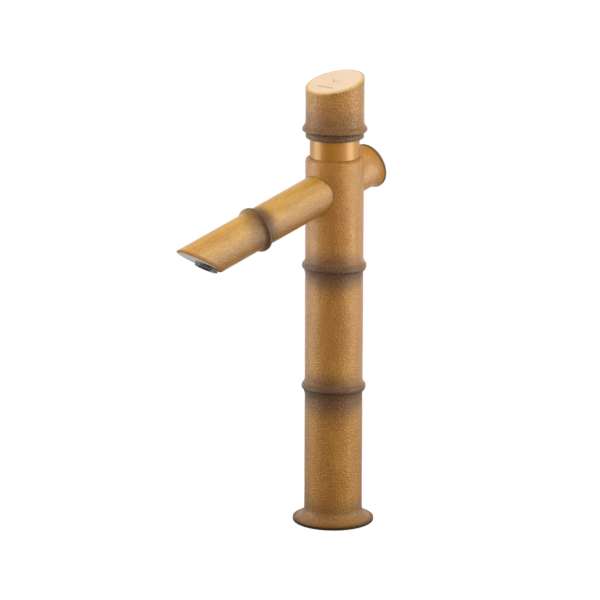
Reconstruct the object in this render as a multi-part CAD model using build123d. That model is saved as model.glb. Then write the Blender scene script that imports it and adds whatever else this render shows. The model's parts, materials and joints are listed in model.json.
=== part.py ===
from build123d import *

import math
import os

# Bamboo faucet: a tall single-hole pillar tap whose cap is pressed down and comes back by itself.
# All lengths are in millimetres, +Z is up and the spout points to -Y.
# The origin is on the column's axis at the counter's top face.

# Clearances and cuts
overrun = 1.0
thread_clearance = 0.03
fixed_clearance = 0.1
running_clearance = 0.1
seal_slack = 0.03

# Column
column_r = 17.0
column_top = 219.4
column_wall = 3.4
seat_wall = 2.4
top_round = 2.3
floor_top = 14.0

# Foot
foot_r = 23.8
foot_edge = 2.6
foot_lift = 0.5
foot_round = 0.7
gasket_r = 20.5
gasket_bore = 14.0
gasket_height = 1.8

# Bamboo nodes: how far a ring stands out, how it rises from below and falls away above
node_height = 1.83
node_below = 6.2
node_above = 4.8
crest_share = 0.42
lower_node_z = 82.9
upper_node_z = 155.3

# Threaded tail and what clamps it under the counter
thread_r = 10.478
thread_depth = 12.0
shank_length = 50.0
shank_bore = 6.0
shank_mouth = 7.0
mouth_depth = 4.0
relief_depth = 0.9
relief_width = 1.2
counter = 20.0
washer_r = 17.0
washer_clearance = 0.25
clamp_gasket_height = 3.0
clamp_washer_height = 1.6
nut_flats = 30.0
nut_height = 7.0
nut_chamfer = 1.2
strainer_wall = 0.5
strainer_length = 6.0
strainer_clearance = 0.15
strainer_hole = 0.55
strainer_pitch = 1.9

# Riser pipe
riser_r = 6.0
riser_bore = 4.8
riser_socket = 8.0
riser_port = 6.0
passage_length = 4.0
seal_r = 0.8

# Valve body
valve_drop = 53.4
sleeve_seat_drop = 0.9
well_r = 7.1
mouth_r = 12.0
mouth_length = 6.0

# Press action
travel = 7.0
stop_gap = 0.6

# Cartridge, from the well's floor upwards
nut_room = 2.5
disc_nut_flats = 7.0
disc_nut_height = 3.0
disc_r = 5.1
disc_height = 2.5
valve_washer_r = 4.9
valve_washer_height = 1.0
barrel_wall = 1.2
seat_bore = 3.6
seat_height = 2.5
window_gap = 2.0
window_height = 7.0
window_width = 6.0
window_count = 4
piston_gap = 1.0
clip_height = 0.8
clip_r = 3.4
piston_height = 4.0
piston_seal_height = 3.0
piston_seal_wall = 1.0
flange_r = 4.2
flange_height = 1.5
barrel_room = 9.0

# Plunger
stem_r = 2.0
plunger_r = 3.0

# Guide sleeve
sleeve_gap = 0.2
deck_height = 5.0
cup_wall = 1.8
cup_clear = 1.5
sleeve_round = 0.4
packing_r = 4.4
packing_height = 1.5
gland_r = 5.0
gland_thread = 2.0
gland_flats = 10.6
gland_head = 2.0
pin_r = 1.0
pin_rise = 7.3
pin_bite = 1.6
pin_reach = 1.2
slot_clearance = 0.3

# Return spring
spring_length = 16.0
spring_r = 8.6
wire_r = 0.6
spring_turns = 5.5

# Cap
cap_lift = 11.3
cap_rim_r = 16.4
cap_rim_round = 0.6
cap_node_rise = 5.3
cap_node_below = 3.6
cap_axis_height = 33.0
cap_slant = 15.0
cap_edge_round = 0.6
web_height = 3.0
boss_r = 5.6
cap_core_wall = 3.8
face_rim = 1.1
face_height = 1.5
face_clearance = 0.08
cap_screw_r = 2.0
cap_screw_head_r = 3.6
cap_screw_head = 2.4
cap_screw_length = 10.0

# Slope shared by the spout and the rear stub
slope = 15.0
spout_drop = 16.7

# Spout
spout_r = 11.5
spout_length = 110.0
spout_cut = 45.0
spout_bore = 5.0
spout_edge_round = 0.5
spout_node_at = 65.2
spout_node_height = 1.9
spout_node_below = 5.0
spout_node_above = 4.0
nipple_r = 6.5
nipple_bore = 4.0
nipple_entry = 6.6
nipple_reach = 17.0
nipple_seal_inset = 2.4
port_bore = 4.0
grub_reach = 9.0
grub_r = 1.5
grub_sink = 0.5
grub_socket = 0.75
grub_socket_depth = 1.5

# Aerator, on its own axis, square to the spout's cut face
aerator_r = 6.9
aerator_offset = 7.2
aerator_stand = 1.7
aerator_depth = 6.0
aerator_wall = 1.3
aerator_lip = 0.6
aerator_lip_height = 0.8
aerator_washer_height = 1.5
aerator_washer_bore = 4.2
aerator_gap = 0.3
screen_height = 0.5
insert_height = 4.0
screen_hole = 0.55
screen_pitch = 1.8
insert_hole = 1.0
insert_pitch = 3.0

# Rear stub
stub_length = 30.2
stub_rim_r = 13.4
stub_neck_end = 21.0
stub_flare_end = 28.0
stub_rim_round = 1.2
stub_face_rim = 1.2
spigot_r = 5.0
spigot_entry = 4.5
stub_screw_r = 2.0
stub_screw_head_r = 3.6
stub_screw_head = 3.0
stub_screw_rise = 2.0
stub_screw_wall = 1.3

# What follows from the sizes above
well_wall_r = column_r - seat_wall
body_r = well_wall_r - fixed_clearance
column_bore = column_r - column_wall
sleeve_r = well_wall_r - sleeve_gap
cap_bore = sleeve_r + running_clearance
flare = foot_r - column_r
spout_z = column_top - spout_drop
nipple_inner_end = column_r - nipple_entry
nipple_outer_end = column_r + nipple_reach
grub_at = column_r + grub_reach
spigot_end = column_r - spigot_entry
stub_screw_seat = column_r + stub_screw_rise
stub_screw_end = well_r + stub_screw_wall
socket_top = foot_lift + thread_depth
valve_low = column_top - valve_drop
valve_top = column_top - sleeve_seat_drop
mouth_low = valve_top - mouth_length
well_floor = valve_low + riser_port + passage_length
nut_low = well_floor + travel + nut_room
disc_low = nut_low + disc_nut_height
valve_washer_low = disc_low + disc_height
seat_low = valve_washer_low + valve_washer_height
seat_top = seat_low + seat_height
window_low = seat_top + window_gap
window_top = window_low + window_height
clip_low = window_top + travel + piston_gap
piston_low = clip_low + clip_height
piston_seal_low = piston_low + piston_height
flange_low = piston_seal_low + piston_seal_height
flange_top = flange_low + flange_height
deck_low = flange_top + barrel_room
deck_top = deck_low + deck_height
gland_low = deck_top - gland_thread
packing_low = gland_low - packing_height
gland_top = deck_top + gland_head
web_low = deck_top + spring_length
web_top = web_low + web_height
cup_top = web_low - travel - cup_clear
boss_low = gland_top + travel + stop_gap
barrel_r = well_r - fixed_clearance
barrel_bore = barrel_r - barrel_wall
cap_rim = column_top + cap_lift
cap_node_z = cap_rim + cap_node_rise
cap_axis_z = cap_rim + cap_axis_height
pin_z = cap_rim + pin_rise
clamp_gasket_low = -counter - clamp_gasket_height
clamp_washer_low = clamp_gasket_low - clamp_washer_height
nut_face = clamp_washer_low - nut_height
relief_low = nut_face - relief_width
riser_low = socket_top - riser_socket

spout_frame = Plane(
    origin=(0, 0, spout_z),
    x_dir=(1, 0, 0),
    z_dir=(0, -math.cos(math.radians(slope)), -math.sin(math.radians(slope))),
)
stub_frame = Plane(
    origin=(0, 0, spout_z),
    x_dir=(1, 0, 0),
    z_dir=(0, math.cos(math.radians(slope)), math.sin(math.radians(slope))),
)
# On the spout's own frame, Z runs outwards along the spout and Y is the spout's upper side.
cut_frame = Plane(
    origin=(0, 0, spout_length),
    x_dir=(1, 0, 0),
    z_dir=(0, -math.sin(math.radians(spout_cut)), math.cos(math.radians(spout_cut))),
)
cap_frame = Plane(
    origin=(0, 0, cap_axis_z),
    x_dir=(1, 0, 0),
    z_dir=(0, -math.sin(math.radians(cap_slant)), math.cos(math.radians(cap_slant))),
)
BASE = (Align.CENTER, Align.CENTER, Align.MIN)


def rod(radius, low, high):
    """Round bar about Z between two heights."""
    return Pos(0, 0, low) * Cylinder(radius, high - low, align=BASE)


def tube(outer, inner, low, high):
    """Round tube about Z between two heights."""
    return rod(outer, low, high) - rod(inner, low - overrun, high + overrun)


def hexagon(flats, low, high):
    """Hexagonal prism about Z, by its width across flats."""
    outline = RegularPolygon(flats / 2, 6, major_radius=False)
    return Pos(0, 0, low) * extrude(outline, high - low)


def beyond(frame, reach):
    """Block that fills the space on the outer side of a frame's plane."""
    return frame * Box(reach, reach, reach, align=BASE)


def inside_seal(shaft, height):
    """O-ring round a shaft, for a groove in the wall outside it."""
    return Pos(0, 0, height) * Torus(shaft + seal_slack + seal_r, seal_r)


def inside_groove(shaft, height):
    """Groove that holds inside_seal."""
    half = seal_r + seal_slack
    return tube(shaft + 2 * half + seal_slack, shaft / 2, height - half, height + half)


def outside_seal(bore, height):
    """O-ring in a groove of a shaft, pressing on the bore round it."""
    return Pos(0, 0, height) * Torus(bore - seal_slack - seal_r, seal_r)


def outside_groove(bore, height):
    """Groove that holds outside_seal, cut from a shaft."""
    half = seal_r + seal_slack
    return tube(bore + overrun, bore - 2 * half - seal_slack, height - half, height + half)


def swell_side(radius, height, crest_z, reach):
    """Two arcs from a ring's crest to its foot: round at the crest, hollow at the foot.

    reach is negative for the side below the crest. The arcs share one tangent where they
    meet, and both end parallel to the axis.
    """
    run = abs(reach)
    sign = math.copysign(1, reach)
    turn = 2 * math.atan2(height, run)
    crest_radius = crest_share * run / math.sin(turn)
    foot_radius = (1 - crest_share) * run / math.sin(turn)

    def on_crest(angle):
        return (
            radius + height - crest_radius * (1 - math.cos(angle)),
            0,
            crest_z + sign * crest_radius * math.sin(angle),
        )

    def on_foot(angle):
        return (
            radius + foot_radius * (1 - math.cos(angle)),
            0,
            crest_z + reach - sign * foot_radius * math.sin(angle),
        )

    crest_arc = ThreePointArc(on_crest(0), on_crest(turn / 2), on_crest(turn))
    foot_arc = ThreePointArc(on_crest(turn), on_foot(turn / 2), on_foot(0))
    return [crest_arc, foot_arc]


def node_ring(radius, height, crest_z, below, above):
    """Edges of a bamboo node's profile, from its lower foot to its upper foot."""
    lower = swell_side(radius, height, crest_z, -below)
    upper = swell_side(radius, height, crest_z, above)
    return [lower[1], lower[0], upper[0], upper[1]]


def quarter(start, corner, end):
    """Quarter of a circle from start to end, bulging towards corner or away from it."""
    centre = (start[0] + end[0] - corner[0], 0, start[2] + end[2] - corner[2])
    share = math.sqrt(0.5)
    middle = (
        centre[0] + share * (corner[0] - centre[0]),
        0,
        centre[2] + share * (corner[2] - centre[2]),
    )
    return ThreePointArc(start, middle, end)


def turned(edges):
    """Solid of revolution about Z from edges in the XZ plane."""
    return revolve(make_face(edges), Axis.Z)


def fan(pitch, rings):
    """Centres of a hexagonal pattern of holes, by rings about the middle."""
    places = [(0, 0)]
    for ring in range(1, rings + 1):
        for side in range(6):
            start = math.radians(60 * side)
            turn = math.radians(60 * (side + 2))
            for step in range(ring):
                x = pitch * (ring * math.cos(start) + step * math.cos(turn))
                y = pitch * (ring * math.sin(start) + step * math.sin(turn))
                places.append((x, y))
    return places


def make_column():
    """Cast column: foot flange, quarter-round flare, two bamboo nodes and a rounded lip."""
    flare_top = foot_edge + flare
    lower_start = lower_node_z - node_below
    lower_end = lower_node_z + node_above
    upper_start = upper_node_z - node_below
    upper_end = upper_node_z + node_above
    round_start = column_top - top_round
    lip_r = column_r - top_round
    edges = [
        Line((0, 0, foot_lift), (foot_r - foot_round, 0, foot_lift)),
        quarter(
            (foot_r - foot_round, 0, foot_lift),
            (foot_r, 0, foot_lift),
            (foot_r, 0, foot_lift + foot_round),
        ),
        Line((foot_r, 0, foot_lift + foot_round), (foot_r, 0, foot_edge)),
        quarter((foot_r, 0, foot_edge), (column_r, 0, foot_edge), (column_r, 0, flare_top)),
        Line((column_r, 0, flare_top), (column_r, 0, lower_start)),
        *node_ring(column_r, node_height, lower_node_z, node_below, node_above),
        Line((column_r, 0, lower_end), (column_r, 0, upper_start)),
        *node_ring(column_r, node_height, upper_node_z, node_below, node_above),
        Line((column_r, 0, upper_end), (column_r, 0, round_start)),
        quarter((column_r, 0, round_start), (column_r, 0, column_top), (lip_r, 0, column_top)),
        Line((lip_r, 0, column_top), (0, 0, column_top)),
        Line((0, 0, column_top), (0, 0, foot_lift)),
    ]
    body = turned(edges)
    body -= rod(thread_r + thread_clearance, foot_lift - overrun, floor_top + overrun)
    body -= rod(column_bore, floor_top, valve_low)
    body -= rod(well_wall_r, valve_low, column_top + overrun)
    body -= tube(
        gasket_r + fixed_clearance,
        gasket_bore - fixed_clearance,
        foot_lift - overrun,
        gasket_height,
    )
    body -= spout_frame * rod(nipple_r + fixed_clearance, 0, 2 * column_r)
    body -= stub_frame * rod(spigot_r + fixed_clearance, 0, 2 * column_r)
    return body


def make_foot_gasket():
    """Rubber ring in the foot's groove, standing a little proud of the metal."""
    return tube(gasket_r, gasket_bore, 0, gasket_height)


def make_shank():
    """Threaded tail, drawn at its crest: socket for the riser above, inlet below."""
    body = rod(thread_r, -shank_length, socket_top)
    body -= rod(shank_bore, -shank_length - overrun, riser_low - passage_length)
    body -= rod(riser_bore, -shank_length, socket_top + overrun)
    body -= rod(riser_r + fixed_clearance, riser_low, socket_top + overrun)
    body -= rod(shank_mouth, -shank_length - overrun, mouth_depth - shank_length)
    body -= tube(thread_r + overrun, thread_r - relief_depth, relief_low, nut_face)
    body -= inside_groove(riser_r, riser_low + riser_socket / 2)
    return body


def make_clamp_gasket():
    """Rubber washer that bears on the counter's underside."""
    return tube(washer_r, thread_r + washer_clearance, clamp_gasket_low, -counter)


def make_clamp_washer():
    """Steel washer between the rubber and the nut."""
    return tube(washer_r, thread_r + washer_clearance, clamp_washer_low, clamp_gasket_low)


def make_lock_nut():
    """Hexagon nut with its corners turned off on both faces."""
    corner = nut_flats / math.sqrt(3)
    blank = hexagon(nut_flats, nut_face, clamp_washer_low)
    cone = rod(corner, nut_face, clamp_washer_low)
    cone = chamfer(cone.edges().filter_by(GeomType.CIRCLE), nut_chamfer)
    return (blank & cone) - rod(
        thread_r + thread_clearance, nut_face - overrun, clamp_washer_low + overrun
    )


def make_inlet_strainer():
    """Pressed sieve cup, its flange on the step in the shank's mouth."""
    flange_z = mouth_depth - shank_length
    cup_r = shank_bore - strainer_clearance
    cup_end = flange_z + strainer_length
    body = rod(shank_mouth - strainer_clearance, flange_z - strainer_wall, flange_z)
    body += rod(cup_r, flange_z - strainer_wall, cup_end)
    body -= rod(cup_r - strainer_wall, flange_z - strainer_wall - overrun, cup_end - strainer_wall)
    for x, y in fan(strainer_pitch, 2):
        body -= Pos(x, y, 0) * rod(strainer_hole, cup_end - overrun - strainer_wall, cup_end + overrun)
    return body


def make_riser_pipe():
    """Water pipe up the column, plugged into a sealed socket at each end."""
    return tube(riser_r, riser_bore, riser_low, valve_low + riser_port)


def make_riser_o_rings():
    """The riser's lower and upper seals."""
    lower = inside_seal(riser_r, riser_low + riser_socket / 2)
    upper = inside_seal(riser_r, valve_low + riser_port / 2)
    return Compound(children=[lower, upper])


def make_valve_body():
    """Brass body: riser socket, cartridge well, threaded mouth, spout port and stub socket."""
    body = rod(body_r, valve_low, valve_top)
    body -= rod(riser_r + fixed_clearance, valve_low - overrun, valve_low + riser_port)
    body -= rod(riser_bore, valve_low, well_floor + overrun)
    body -= rod(well_r, well_floor, valve_top + overrun)
    body -= rod(mouth_r + thread_clearance, mouth_low, valve_top + overrun)
    body -= inside_groove(riser_r, valve_low + riser_port / 2)
    body -= inside_groove(barrel_r, (well_floor + disc_low) / 2)
    body -= inside_groove(barrel_r, (window_top + piston_seal_low) / 2)
    body -= spout_frame * rod(nipple_r + fixed_clearance, nipple_inner_end, 2 * column_r)
    body -= spout_frame * rod(port_bore, 0, nipple_inner_end + overrun)
    body -= stub_frame * rod(spigot_r + fixed_clearance, spigot_end, 2 * column_r)
    body -= stub_frame * rod(stub_screw_r + thread_clearance, 0, spigot_end + overrun)
    return body


def make_cartridge_barrel():
    """Metering cartridge's tube, with outlet windows all round at the spout's height."""
    body = tube(barrel_r, barrel_bore, well_floor, deck_low)
    middle = (window_low + window_top) / 2
    for turn in range(window_count // 2):
        window = Box(2 * barrel_r + overrun, window_width, window_height)
        body -= Pos(0, 0, middle) * Rot(0, 0, 360 / window_count * turn) * window
    return body


def make_cartridge_o_rings():
    """Seals above and below the barrel's windows."""
    lower = inside_seal(barrel_r, (well_floor + disc_low) / 2)
    upper = inside_seal(barrel_r, (window_top + piston_seal_low) / 2)
    return Compound(children=[lower, upper])


def make_valve_seat():
    """Steel ring in the barrel. The valve closes against its lower face."""
    return tube(barrel_bore - thread_clearance, seat_bore, seat_low, seat_top)


def make_guide_sleeve():
    """Gold sleeve: screwed tail, deck that holds the gland, and a cup for the spring."""
    body = rod(mouth_r, mouth_low, valve_top)
    body += rod(sleeve_r, valve_top, cup_top)
    top_edges = body.edges().filter_by(GeomType.CIRCLE).group_by(Axis.Z)[-1]
    body = fillet(top_edges, sleeve_round)
    body -= rod(barrel_r + fixed_clearance, mouth_low - overrun, deck_low)
    body -= rod(plunger_r + running_clearance, deck_low - overrun, deck_top + overrun)
    body -= rod(packing_r + thread_clearance, packing_low, deck_top + overrun)
    body -= rod(gland_r + thread_clearance, gland_low, deck_top + overrun)
    body -= rod(sleeve_r - cup_wall, deck_top, cup_top + overrun)
    body -= Pos(0, 0, pin_z) * Rot(-90, 0, 0) * rod(pin_r + thread_clearance, 0, sleeve_r + overrun)
    return body


def make_guide_pin():
    """Dowel in the sleeve's rear wall. It keeps the slanted cap facing the spout."""
    return Pos(0, 0, pin_z) * Rot(-90, 0, 0) * rod(pin_r, sleeve_r - pin_bite, sleeve_r + pin_reach)


def make_gland_nut():
    """Nut that presses the packing round the plunger."""
    body = rod(gland_r, gland_low, deck_top)
    body += hexagon(gland_flats, deck_top, gland_top)
    return body - rod(plunger_r + running_clearance, gland_low - overrun, gland_top + overrun)


def make_stem_packing():
    """Rubber ring round the plunger, under the gland nut."""
    return tube(packing_r, plunger_r + running_clearance, packing_low, gland_low)


def make_return_spring():
    """Open coil between the sleeve's deck and the cap's web."""
    rise = spring_length - 2 * (wire_r + seal_slack)
    path = Pos(0, 0, deck_top + wire_r + seal_slack) * Helix(rise / spring_turns, rise, spring_r)
    start = Plane(origin=path @ 0, z_dir=path % 0)
    return sweep(start * Circle(wire_r), path=path, is_frenet=True)


def make_plunger():
    """Rod from the cap down to the valve, with a flange that carries the piston."""
    body = rod(stem_r, nut_low, flange_low)
    body += rod(flange_r, flange_low, flange_top)
    body += rod(plunger_r, flange_top, web_low)
    hole_low = web_top - cap_screw_length - overrun
    return body - rod(cap_screw_r + thread_clearance, hole_low, web_low + overrun)


def make_metering_piston():
    """Piston that lets the cap come back slowly."""
    return tube(barrel_bore - running_clearance, stem_r + thread_clearance, piston_low, piston_seal_low)


def make_piston_seal():
    """Cup seal above the piston, hollow on its upper side."""
    outer = barrel_bore - running_clearance / 2
    body = tube(outer, stem_r + thread_clearance, piston_seal_low, flange_low)
    cup = tube(outer - piston_seal_wall, flange_r, piston_seal_low + piston_seal_wall, flange_low + overrun)
    return body - cup


def make_piston_clip():
    """Open spring clip under the piston."""
    body = tube(clip_r, stem_r + thread_clearance, clip_low, piston_low)
    mouth = Box(2 * stem_r, clip_r + overrun, clip_height, align=(Align.CENTER, Align.MIN, Align.MIN))
    return body - Pos(0, 0, clip_low) * mouth


def make_valve_disc():
    """Brass disc that backs the valve's rubber."""
    return tube(disc_r, stem_r + thread_clearance, disc_low, valve_washer_low)


def make_valve_washer():
    """Rubber that closes on the seat."""
    return tube(valve_washer_r, stem_r + thread_clearance, valve_washer_low, seat_low)


def make_disc_nut():
    """Nut on the plunger's foot, under the disc."""
    return hexagon(disc_nut_flats, nut_low, disc_low) - rod(
        stem_r + thread_clearance, nut_low - overrun, disc_low + overrun
    )


def make_push_cap():
    """Hollow bamboo cap: ring over a short collar, slanted top, web and stop boss inside."""
    ring_start = cap_node_z - cap_node_below
    ring_end = cap_node_z + node_above
    high = cap_axis_z + column_r
    rim_edge = cap_rim_r - cap_rim_round
    collar_low = cap_rim + (column_r - rim_edge)
    edges = [
        Line((0, 0, cap_rim), (rim_edge, 0, cap_rim)),
        quarter((rim_edge, 0, cap_rim), (column_r, 0, cap_rim), (column_r, 0, collar_low)),
        Line((column_r, 0, collar_low), (column_r, 0, ring_start)),
        *node_ring(column_r, node_height, cap_node_z, cap_node_below, node_above),
        Line((column_r, 0, ring_end), (column_r, 0, high)),
        Line((column_r, 0, high), (0, 0, high)),
        Line((0, 0, high), (0, 0, cap_rim)),
    ]
    body = turned(edges) - beyond(cap_frame, 4 * column_r)
    top_edge = body.edges().filter_by(GeomType.ELLIPSE)
    body = fillet(top_edge, cap_edge_round)
    body -= rod(cap_bore, cap_rim - overrun, web_low)
    body += rod(boss_r, boss_low, web_low + overrun)
    body -= rod(plunger_r + fixed_clearance, boss_low - overrun, web_low)
    body -= rod(cap_screw_r + thread_clearance, web_low - overrun, web_top + overrun)
    body -= rod(column_r - cap_core_wall, web_top, high) - beyond(under_face(cap_frame), 4 * column_r)
    body -= rod(column_r - face_rim, web_top, high) & beyond(under_face(cap_frame), 4 * column_r)
    slot_top = pin_z + travel + pin_r + slot_clearance
    slot = Box(
        2 * (pin_r + running_clearance),
        sleeve_r + pin_reach + slot_clearance,
        slot_top - cap_rim + overrun,
        align=(Align.CENTER, Align.MIN, Align.MIN),
    )
    bore_rod = rod(cap_bore, cap_rim - 2 * overrun, high)
    return body - (Pos(0, 0, cap_rim - overrun) * slot - bore_rod)


def under_face(frame):
    """The plane that a face plate rests on, below a slanted top."""
    return frame.offset(-face_height)


def make_cap_face():
    """Cream plate let flush into the slanted top."""
    blank = rod(column_r - face_rim - face_clearance, web_top, cap_axis_z + column_r)
    blank &= beyond(under_face(cap_frame), 4 * column_r)
    return blank - beyond(cap_frame, 4 * column_r)


def make_cap_screw():
    """Screw that holds the cap on the plunger, with a slotted head."""
    body = rod(cap_screw_r, web_top - cap_screw_length, web_top)
    head = rod(cap_screw_head_r, web_top, web_top + cap_screw_head)
    slot = Pos(0, 0, web_top + cap_screw_head) * Box(
        2 * cap_screw_head_r + overrun, cap_screw_head / 3, cap_screw_head
    )
    return body + (head - slot)


def make_spout():
    """Cast spout on its own axis: coped root, one node, slanted end with aerator pocket."""
    node_start = spout_node_at - spout_node_below
    node_end = spout_node_at + spout_node_above
    far = spout_length + 2 * spout_r
    edges = [
        Line((0, 0, 0), (spout_r, 0, 0)),
        Line((spout_r, 0, 0), (spout_r, 0, node_start)),
        *node_ring(
            spout_r, spout_node_height, spout_node_at, spout_node_below, spout_node_above
        ),
        Line((spout_r, 0, node_end), (spout_r, 0, far)),
        Line((spout_r, 0, far), (0, 0, far)),
        Line((0, 0, far), (0, 0, 0)),
    ]
    body = turned(edges) - beyond(cut_frame, 8 * spout_r)
    body = fillet(body.edges().filter_by(GeomType.ELLIPSE), spout_edge_round)
    body -= rod(nipple_r + fixed_clearance, 0, nipple_outer_end)
    body -= rod(spout_bore, 0, spout_length - aerator_offset / 2)
    body -= rod(spout_r - face_rim, spout_length / 2, far) & beyond(under_face(cut_frame), 8 * spout_r)
    body -= aerator_place(rod(aerator_r + thread_clearance, aerator_floor(), overrun))
    body -= Pos(0, 0, grub_at) * Rot(90, 0, 0) * rod(grub_r + thread_clearance, 0, spout_r + overrun)
    body = spout_frame * body
    return body - rod(column_r, 0, column_top + spout_length)


def aerator_floor():
    """Depth of the aerator's pocket, measured inwards from the cut face."""
    return -(aerator_depth + aerator_washer_height)


def aerator_place(shape):
    """Move a shape from the aerator's axis to the spout's own frame. Z points out of the face."""
    return cut_frame * Pos(0, -aerator_offset, 0) * shape


def make_spout_face():
    """Cream plate let into the cut end, open round the aerator."""
    blank = rod(spout_r - face_rim - face_clearance, spout_length / 2, spout_length + 2 * spout_r)
    blank &= beyond(under_face(cut_frame), 8 * spout_r)
    blank -= beyond(cut_frame, 8 * spout_r)
    blank -= aerator_place(rod(aerator_r + aerator_gap, -face_height - overrun, overrun))
    return spout_frame * blank


def make_aerator_housing():
    """Chromed ring with a lip that holds the screen."""
    body = tube(aerator_r, aerator_r - aerator_wall - aerator_lip, -aerator_depth, aerator_stand)
    inner_top = aerator_stand - aerator_lip_height
    body -= rod(aerator_r - aerator_wall, -aerator_depth - overrun, inner_top)
    rim = body.edges().filter_by(GeomType.CIRCLE).group_by(Axis.Z)[-1]
    body = fillet(rim, aerator_lip / 2)
    return spout_frame * aerator_place(body)


def perforated(radius, low, high, hole, pitch, rings):
    """Disc full of straight holes."""
    body = rod(radius, low, high)
    for x, y in fan(pitch, rings):
        body -= Pos(x, y, 0) * rod(hole, low - overrun, high + overrun)
    return body


def make_aerator_screen():
    """Fine sieve behind the housing's lip."""
    top = aerator_stand - aerator_lip_height
    disc = perforated(
        aerator_r - aerator_wall - fixed_clearance,
        top - screen_height,
        top,
        screen_hole,
        screen_pitch,
        2,
    )
    return spout_frame * aerator_place(disc)


def make_aerator_insert():
    """Flow straightener behind the sieve."""
    top = aerator_stand - aerator_lip_height - screen_height
    disc = perforated(
        aerator_r - aerator_wall - fixed_clearance,
        top - insert_height,
        top,
        insert_hole,
        insert_pitch,
        1,
    )
    return spout_frame * aerator_place(disc)


def make_aerator_washer():
    """Rubber ring between the housing and the pocket's floor."""
    ring = tube(aerator_r - fixed_clearance, aerator_washer_bore, aerator_floor(), -aerator_depth)
    return spout_frame * aerator_place(ring)


def make_spout_nipple():
    """Hollow nipple that carries the spout and brings its water."""
    body = tube(nipple_r, nipple_bore, nipple_inner_end, nipple_outer_end)
    bore = nipple_r + fixed_clearance
    body -= outside_groove(bore, nipple_inner_end + nipple_seal_inset)
    body -= outside_groove(bore, nipple_outer_end - nipple_seal_inset)
    return spout_frame * body


def make_nipple_o_rings():
    """The nipple's seals in the valve body and in the spout."""
    bore = nipple_r + fixed_clearance
    inner = spout_frame * outside_seal(bore, nipple_inner_end + nipple_seal_inset)
    outer = spout_frame * outside_seal(bore, nipple_outer_end - nipple_seal_inset)
    return Compound(children=[inner, outer])


def make_spout_grub_screw():
    """Socket screw in the spout's underside, biting on the nipple."""
    body = rod(grub_r, nipple_r, spout_r - grub_sink)
    key = Pos(0, 0, spout_r - grub_sink - grub_socket_depth) * extrude(
        RegularPolygon(grub_socket, 6), grub_socket_depth + overrun
    )
    return spout_frame * Pos(0, 0, grub_at) * Rot(90, 0, 0) * (body - key)


def make_rear_stub():
    """Branch stub: straight neck, hollow flare and rounded rim, with a spigot at its root."""
    rim_low = stub_length - stub_rim_round
    flare_r = stub_rim_r - spout_r
    flare_run = stub_flare_end - stub_neck_end
    turn = 2 * math.atan2(flare_r, flare_run)
    radius = flare_run / math.sin(turn)
    middle = (
        spout_r + radius * (1 - math.cos(turn / 2)),
        0,
        stub_neck_end + radius * math.sin(turn / 2),
    )
    face_r = stub_rim_r - stub_rim_round
    edges = [
        Line((0, 0, 0), (spout_r, 0, 0)),
        Line((spout_r, 0, 0), (spout_r, 0, stub_neck_end)),
        ThreePointArc((spout_r, 0, stub_neck_end), middle, (stub_rim_r, 0, stub_flare_end)),
        Line((stub_rim_r, 0, stub_flare_end), (stub_rim_r, 0, rim_low)),
        quarter((stub_rim_r, 0, rim_low), (stub_rim_r, 0, stub_length), (face_r, 0, stub_length)),
        Line((face_r, 0, stub_length), (0, 0, stub_length)),
        Line((0, 0, stub_length), (0, 0, 0)),
    ]
    body = stub_frame * turned(edges) - rod(column_r, 0, column_top + stub_length)
    body += stub_frame * rod(spigot_r, spigot_end, column_r + stub_rim_round)
    face_low = stub_length - face_height
    body -= stub_frame * rod(face_r - stub_face_rim + face_clearance, face_low, stub_length + overrun)
    body -= stub_frame * rod(stub_screw_head_r + fixed_clearance, stub_screw_seat, stub_length)
    body -= stub_frame * rod(stub_screw_r + fixed_clearance, 0, stub_length)
    return body


def make_stub_screw():
    """Screw through the stub and the column's wall into the valve body."""
    body = rod(stub_screw_r, stub_screw_end, stub_screw_seat)
    body += rod(stub_screw_head_r, stub_screw_seat, stub_screw_seat + stub_screw_head)
    slot = Box(2 * stub_screw_head_r + overrun, stub_screw_head / 3, stub_screw_head)
    body -= Pos(0, 0, stub_screw_seat + stub_screw_head) * slot
    return stub_frame * body


def make_stub_face():
    """Cream plate let into the stub's end, over its screw."""
    plate_r = stub_rim_r - stub_rim_round - stub_face_rim
    return stub_frame * rod(plate_r, stub_length - face_height, stub_length)


PIECES = {
    "column": make_column,
    "foot_gasket": make_foot_gasket,
    "shank": make_shank,
    "clamp_gasket": make_clamp_gasket,
    "clamp_washer": make_clamp_washer,
    "lock_nut": make_lock_nut,
    "inlet_strainer": make_inlet_strainer,
    "riser_pipe": make_riser_pipe,
    "riser_o_rings": make_riser_o_rings,
    "valve_body": make_valve_body,
    "cartridge_barrel": make_cartridge_barrel,
    "cartridge_o_rings": make_cartridge_o_rings,
    "valve_seat": make_valve_seat,
    "guide_sleeve": make_guide_sleeve,
    "guide_pin": make_guide_pin,
    "gland_nut": make_gland_nut,
    "stem_packing": make_stem_packing,
    "return_spring": make_return_spring,
    "plunger": make_plunger,
    "metering_piston": make_metering_piston,
    "piston_seal": make_piston_seal,
    "piston_clip": make_piston_clip,
    "valve_disc": make_valve_disc,
    "valve_washer": make_valve_washer,
    "disc_nut": make_disc_nut,
    "push_cap": make_push_cap,
    "cap_face": make_cap_face,
    "cap_screw": make_cap_screw,
    "spout": make_spout,
    "spout_face": make_spout_face,
    "spout_nipple": make_spout_nipple,
    "nipple_o_rings": make_nipple_o_rings,
    "spout_grub_screw": make_spout_grub_screw,
    "aerator_housing": make_aerator_housing,
    "aerator_screen": make_aerator_screen,
    "aerator_insert": make_aerator_insert,
    "aerator_washer": make_aerator_washer,
    "rear_stub": make_rear_stub,
    "stub_screw": make_stub_screw,
    "stub_face": make_stub_face,
}

os.makedirs("parts", exist_ok=True)
for name, make in PIECES.items():
    piece = make()
    export_step(piece, f"parts/{name}.step")
    print(name, round(piece.volume, 1), "mm3")
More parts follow.
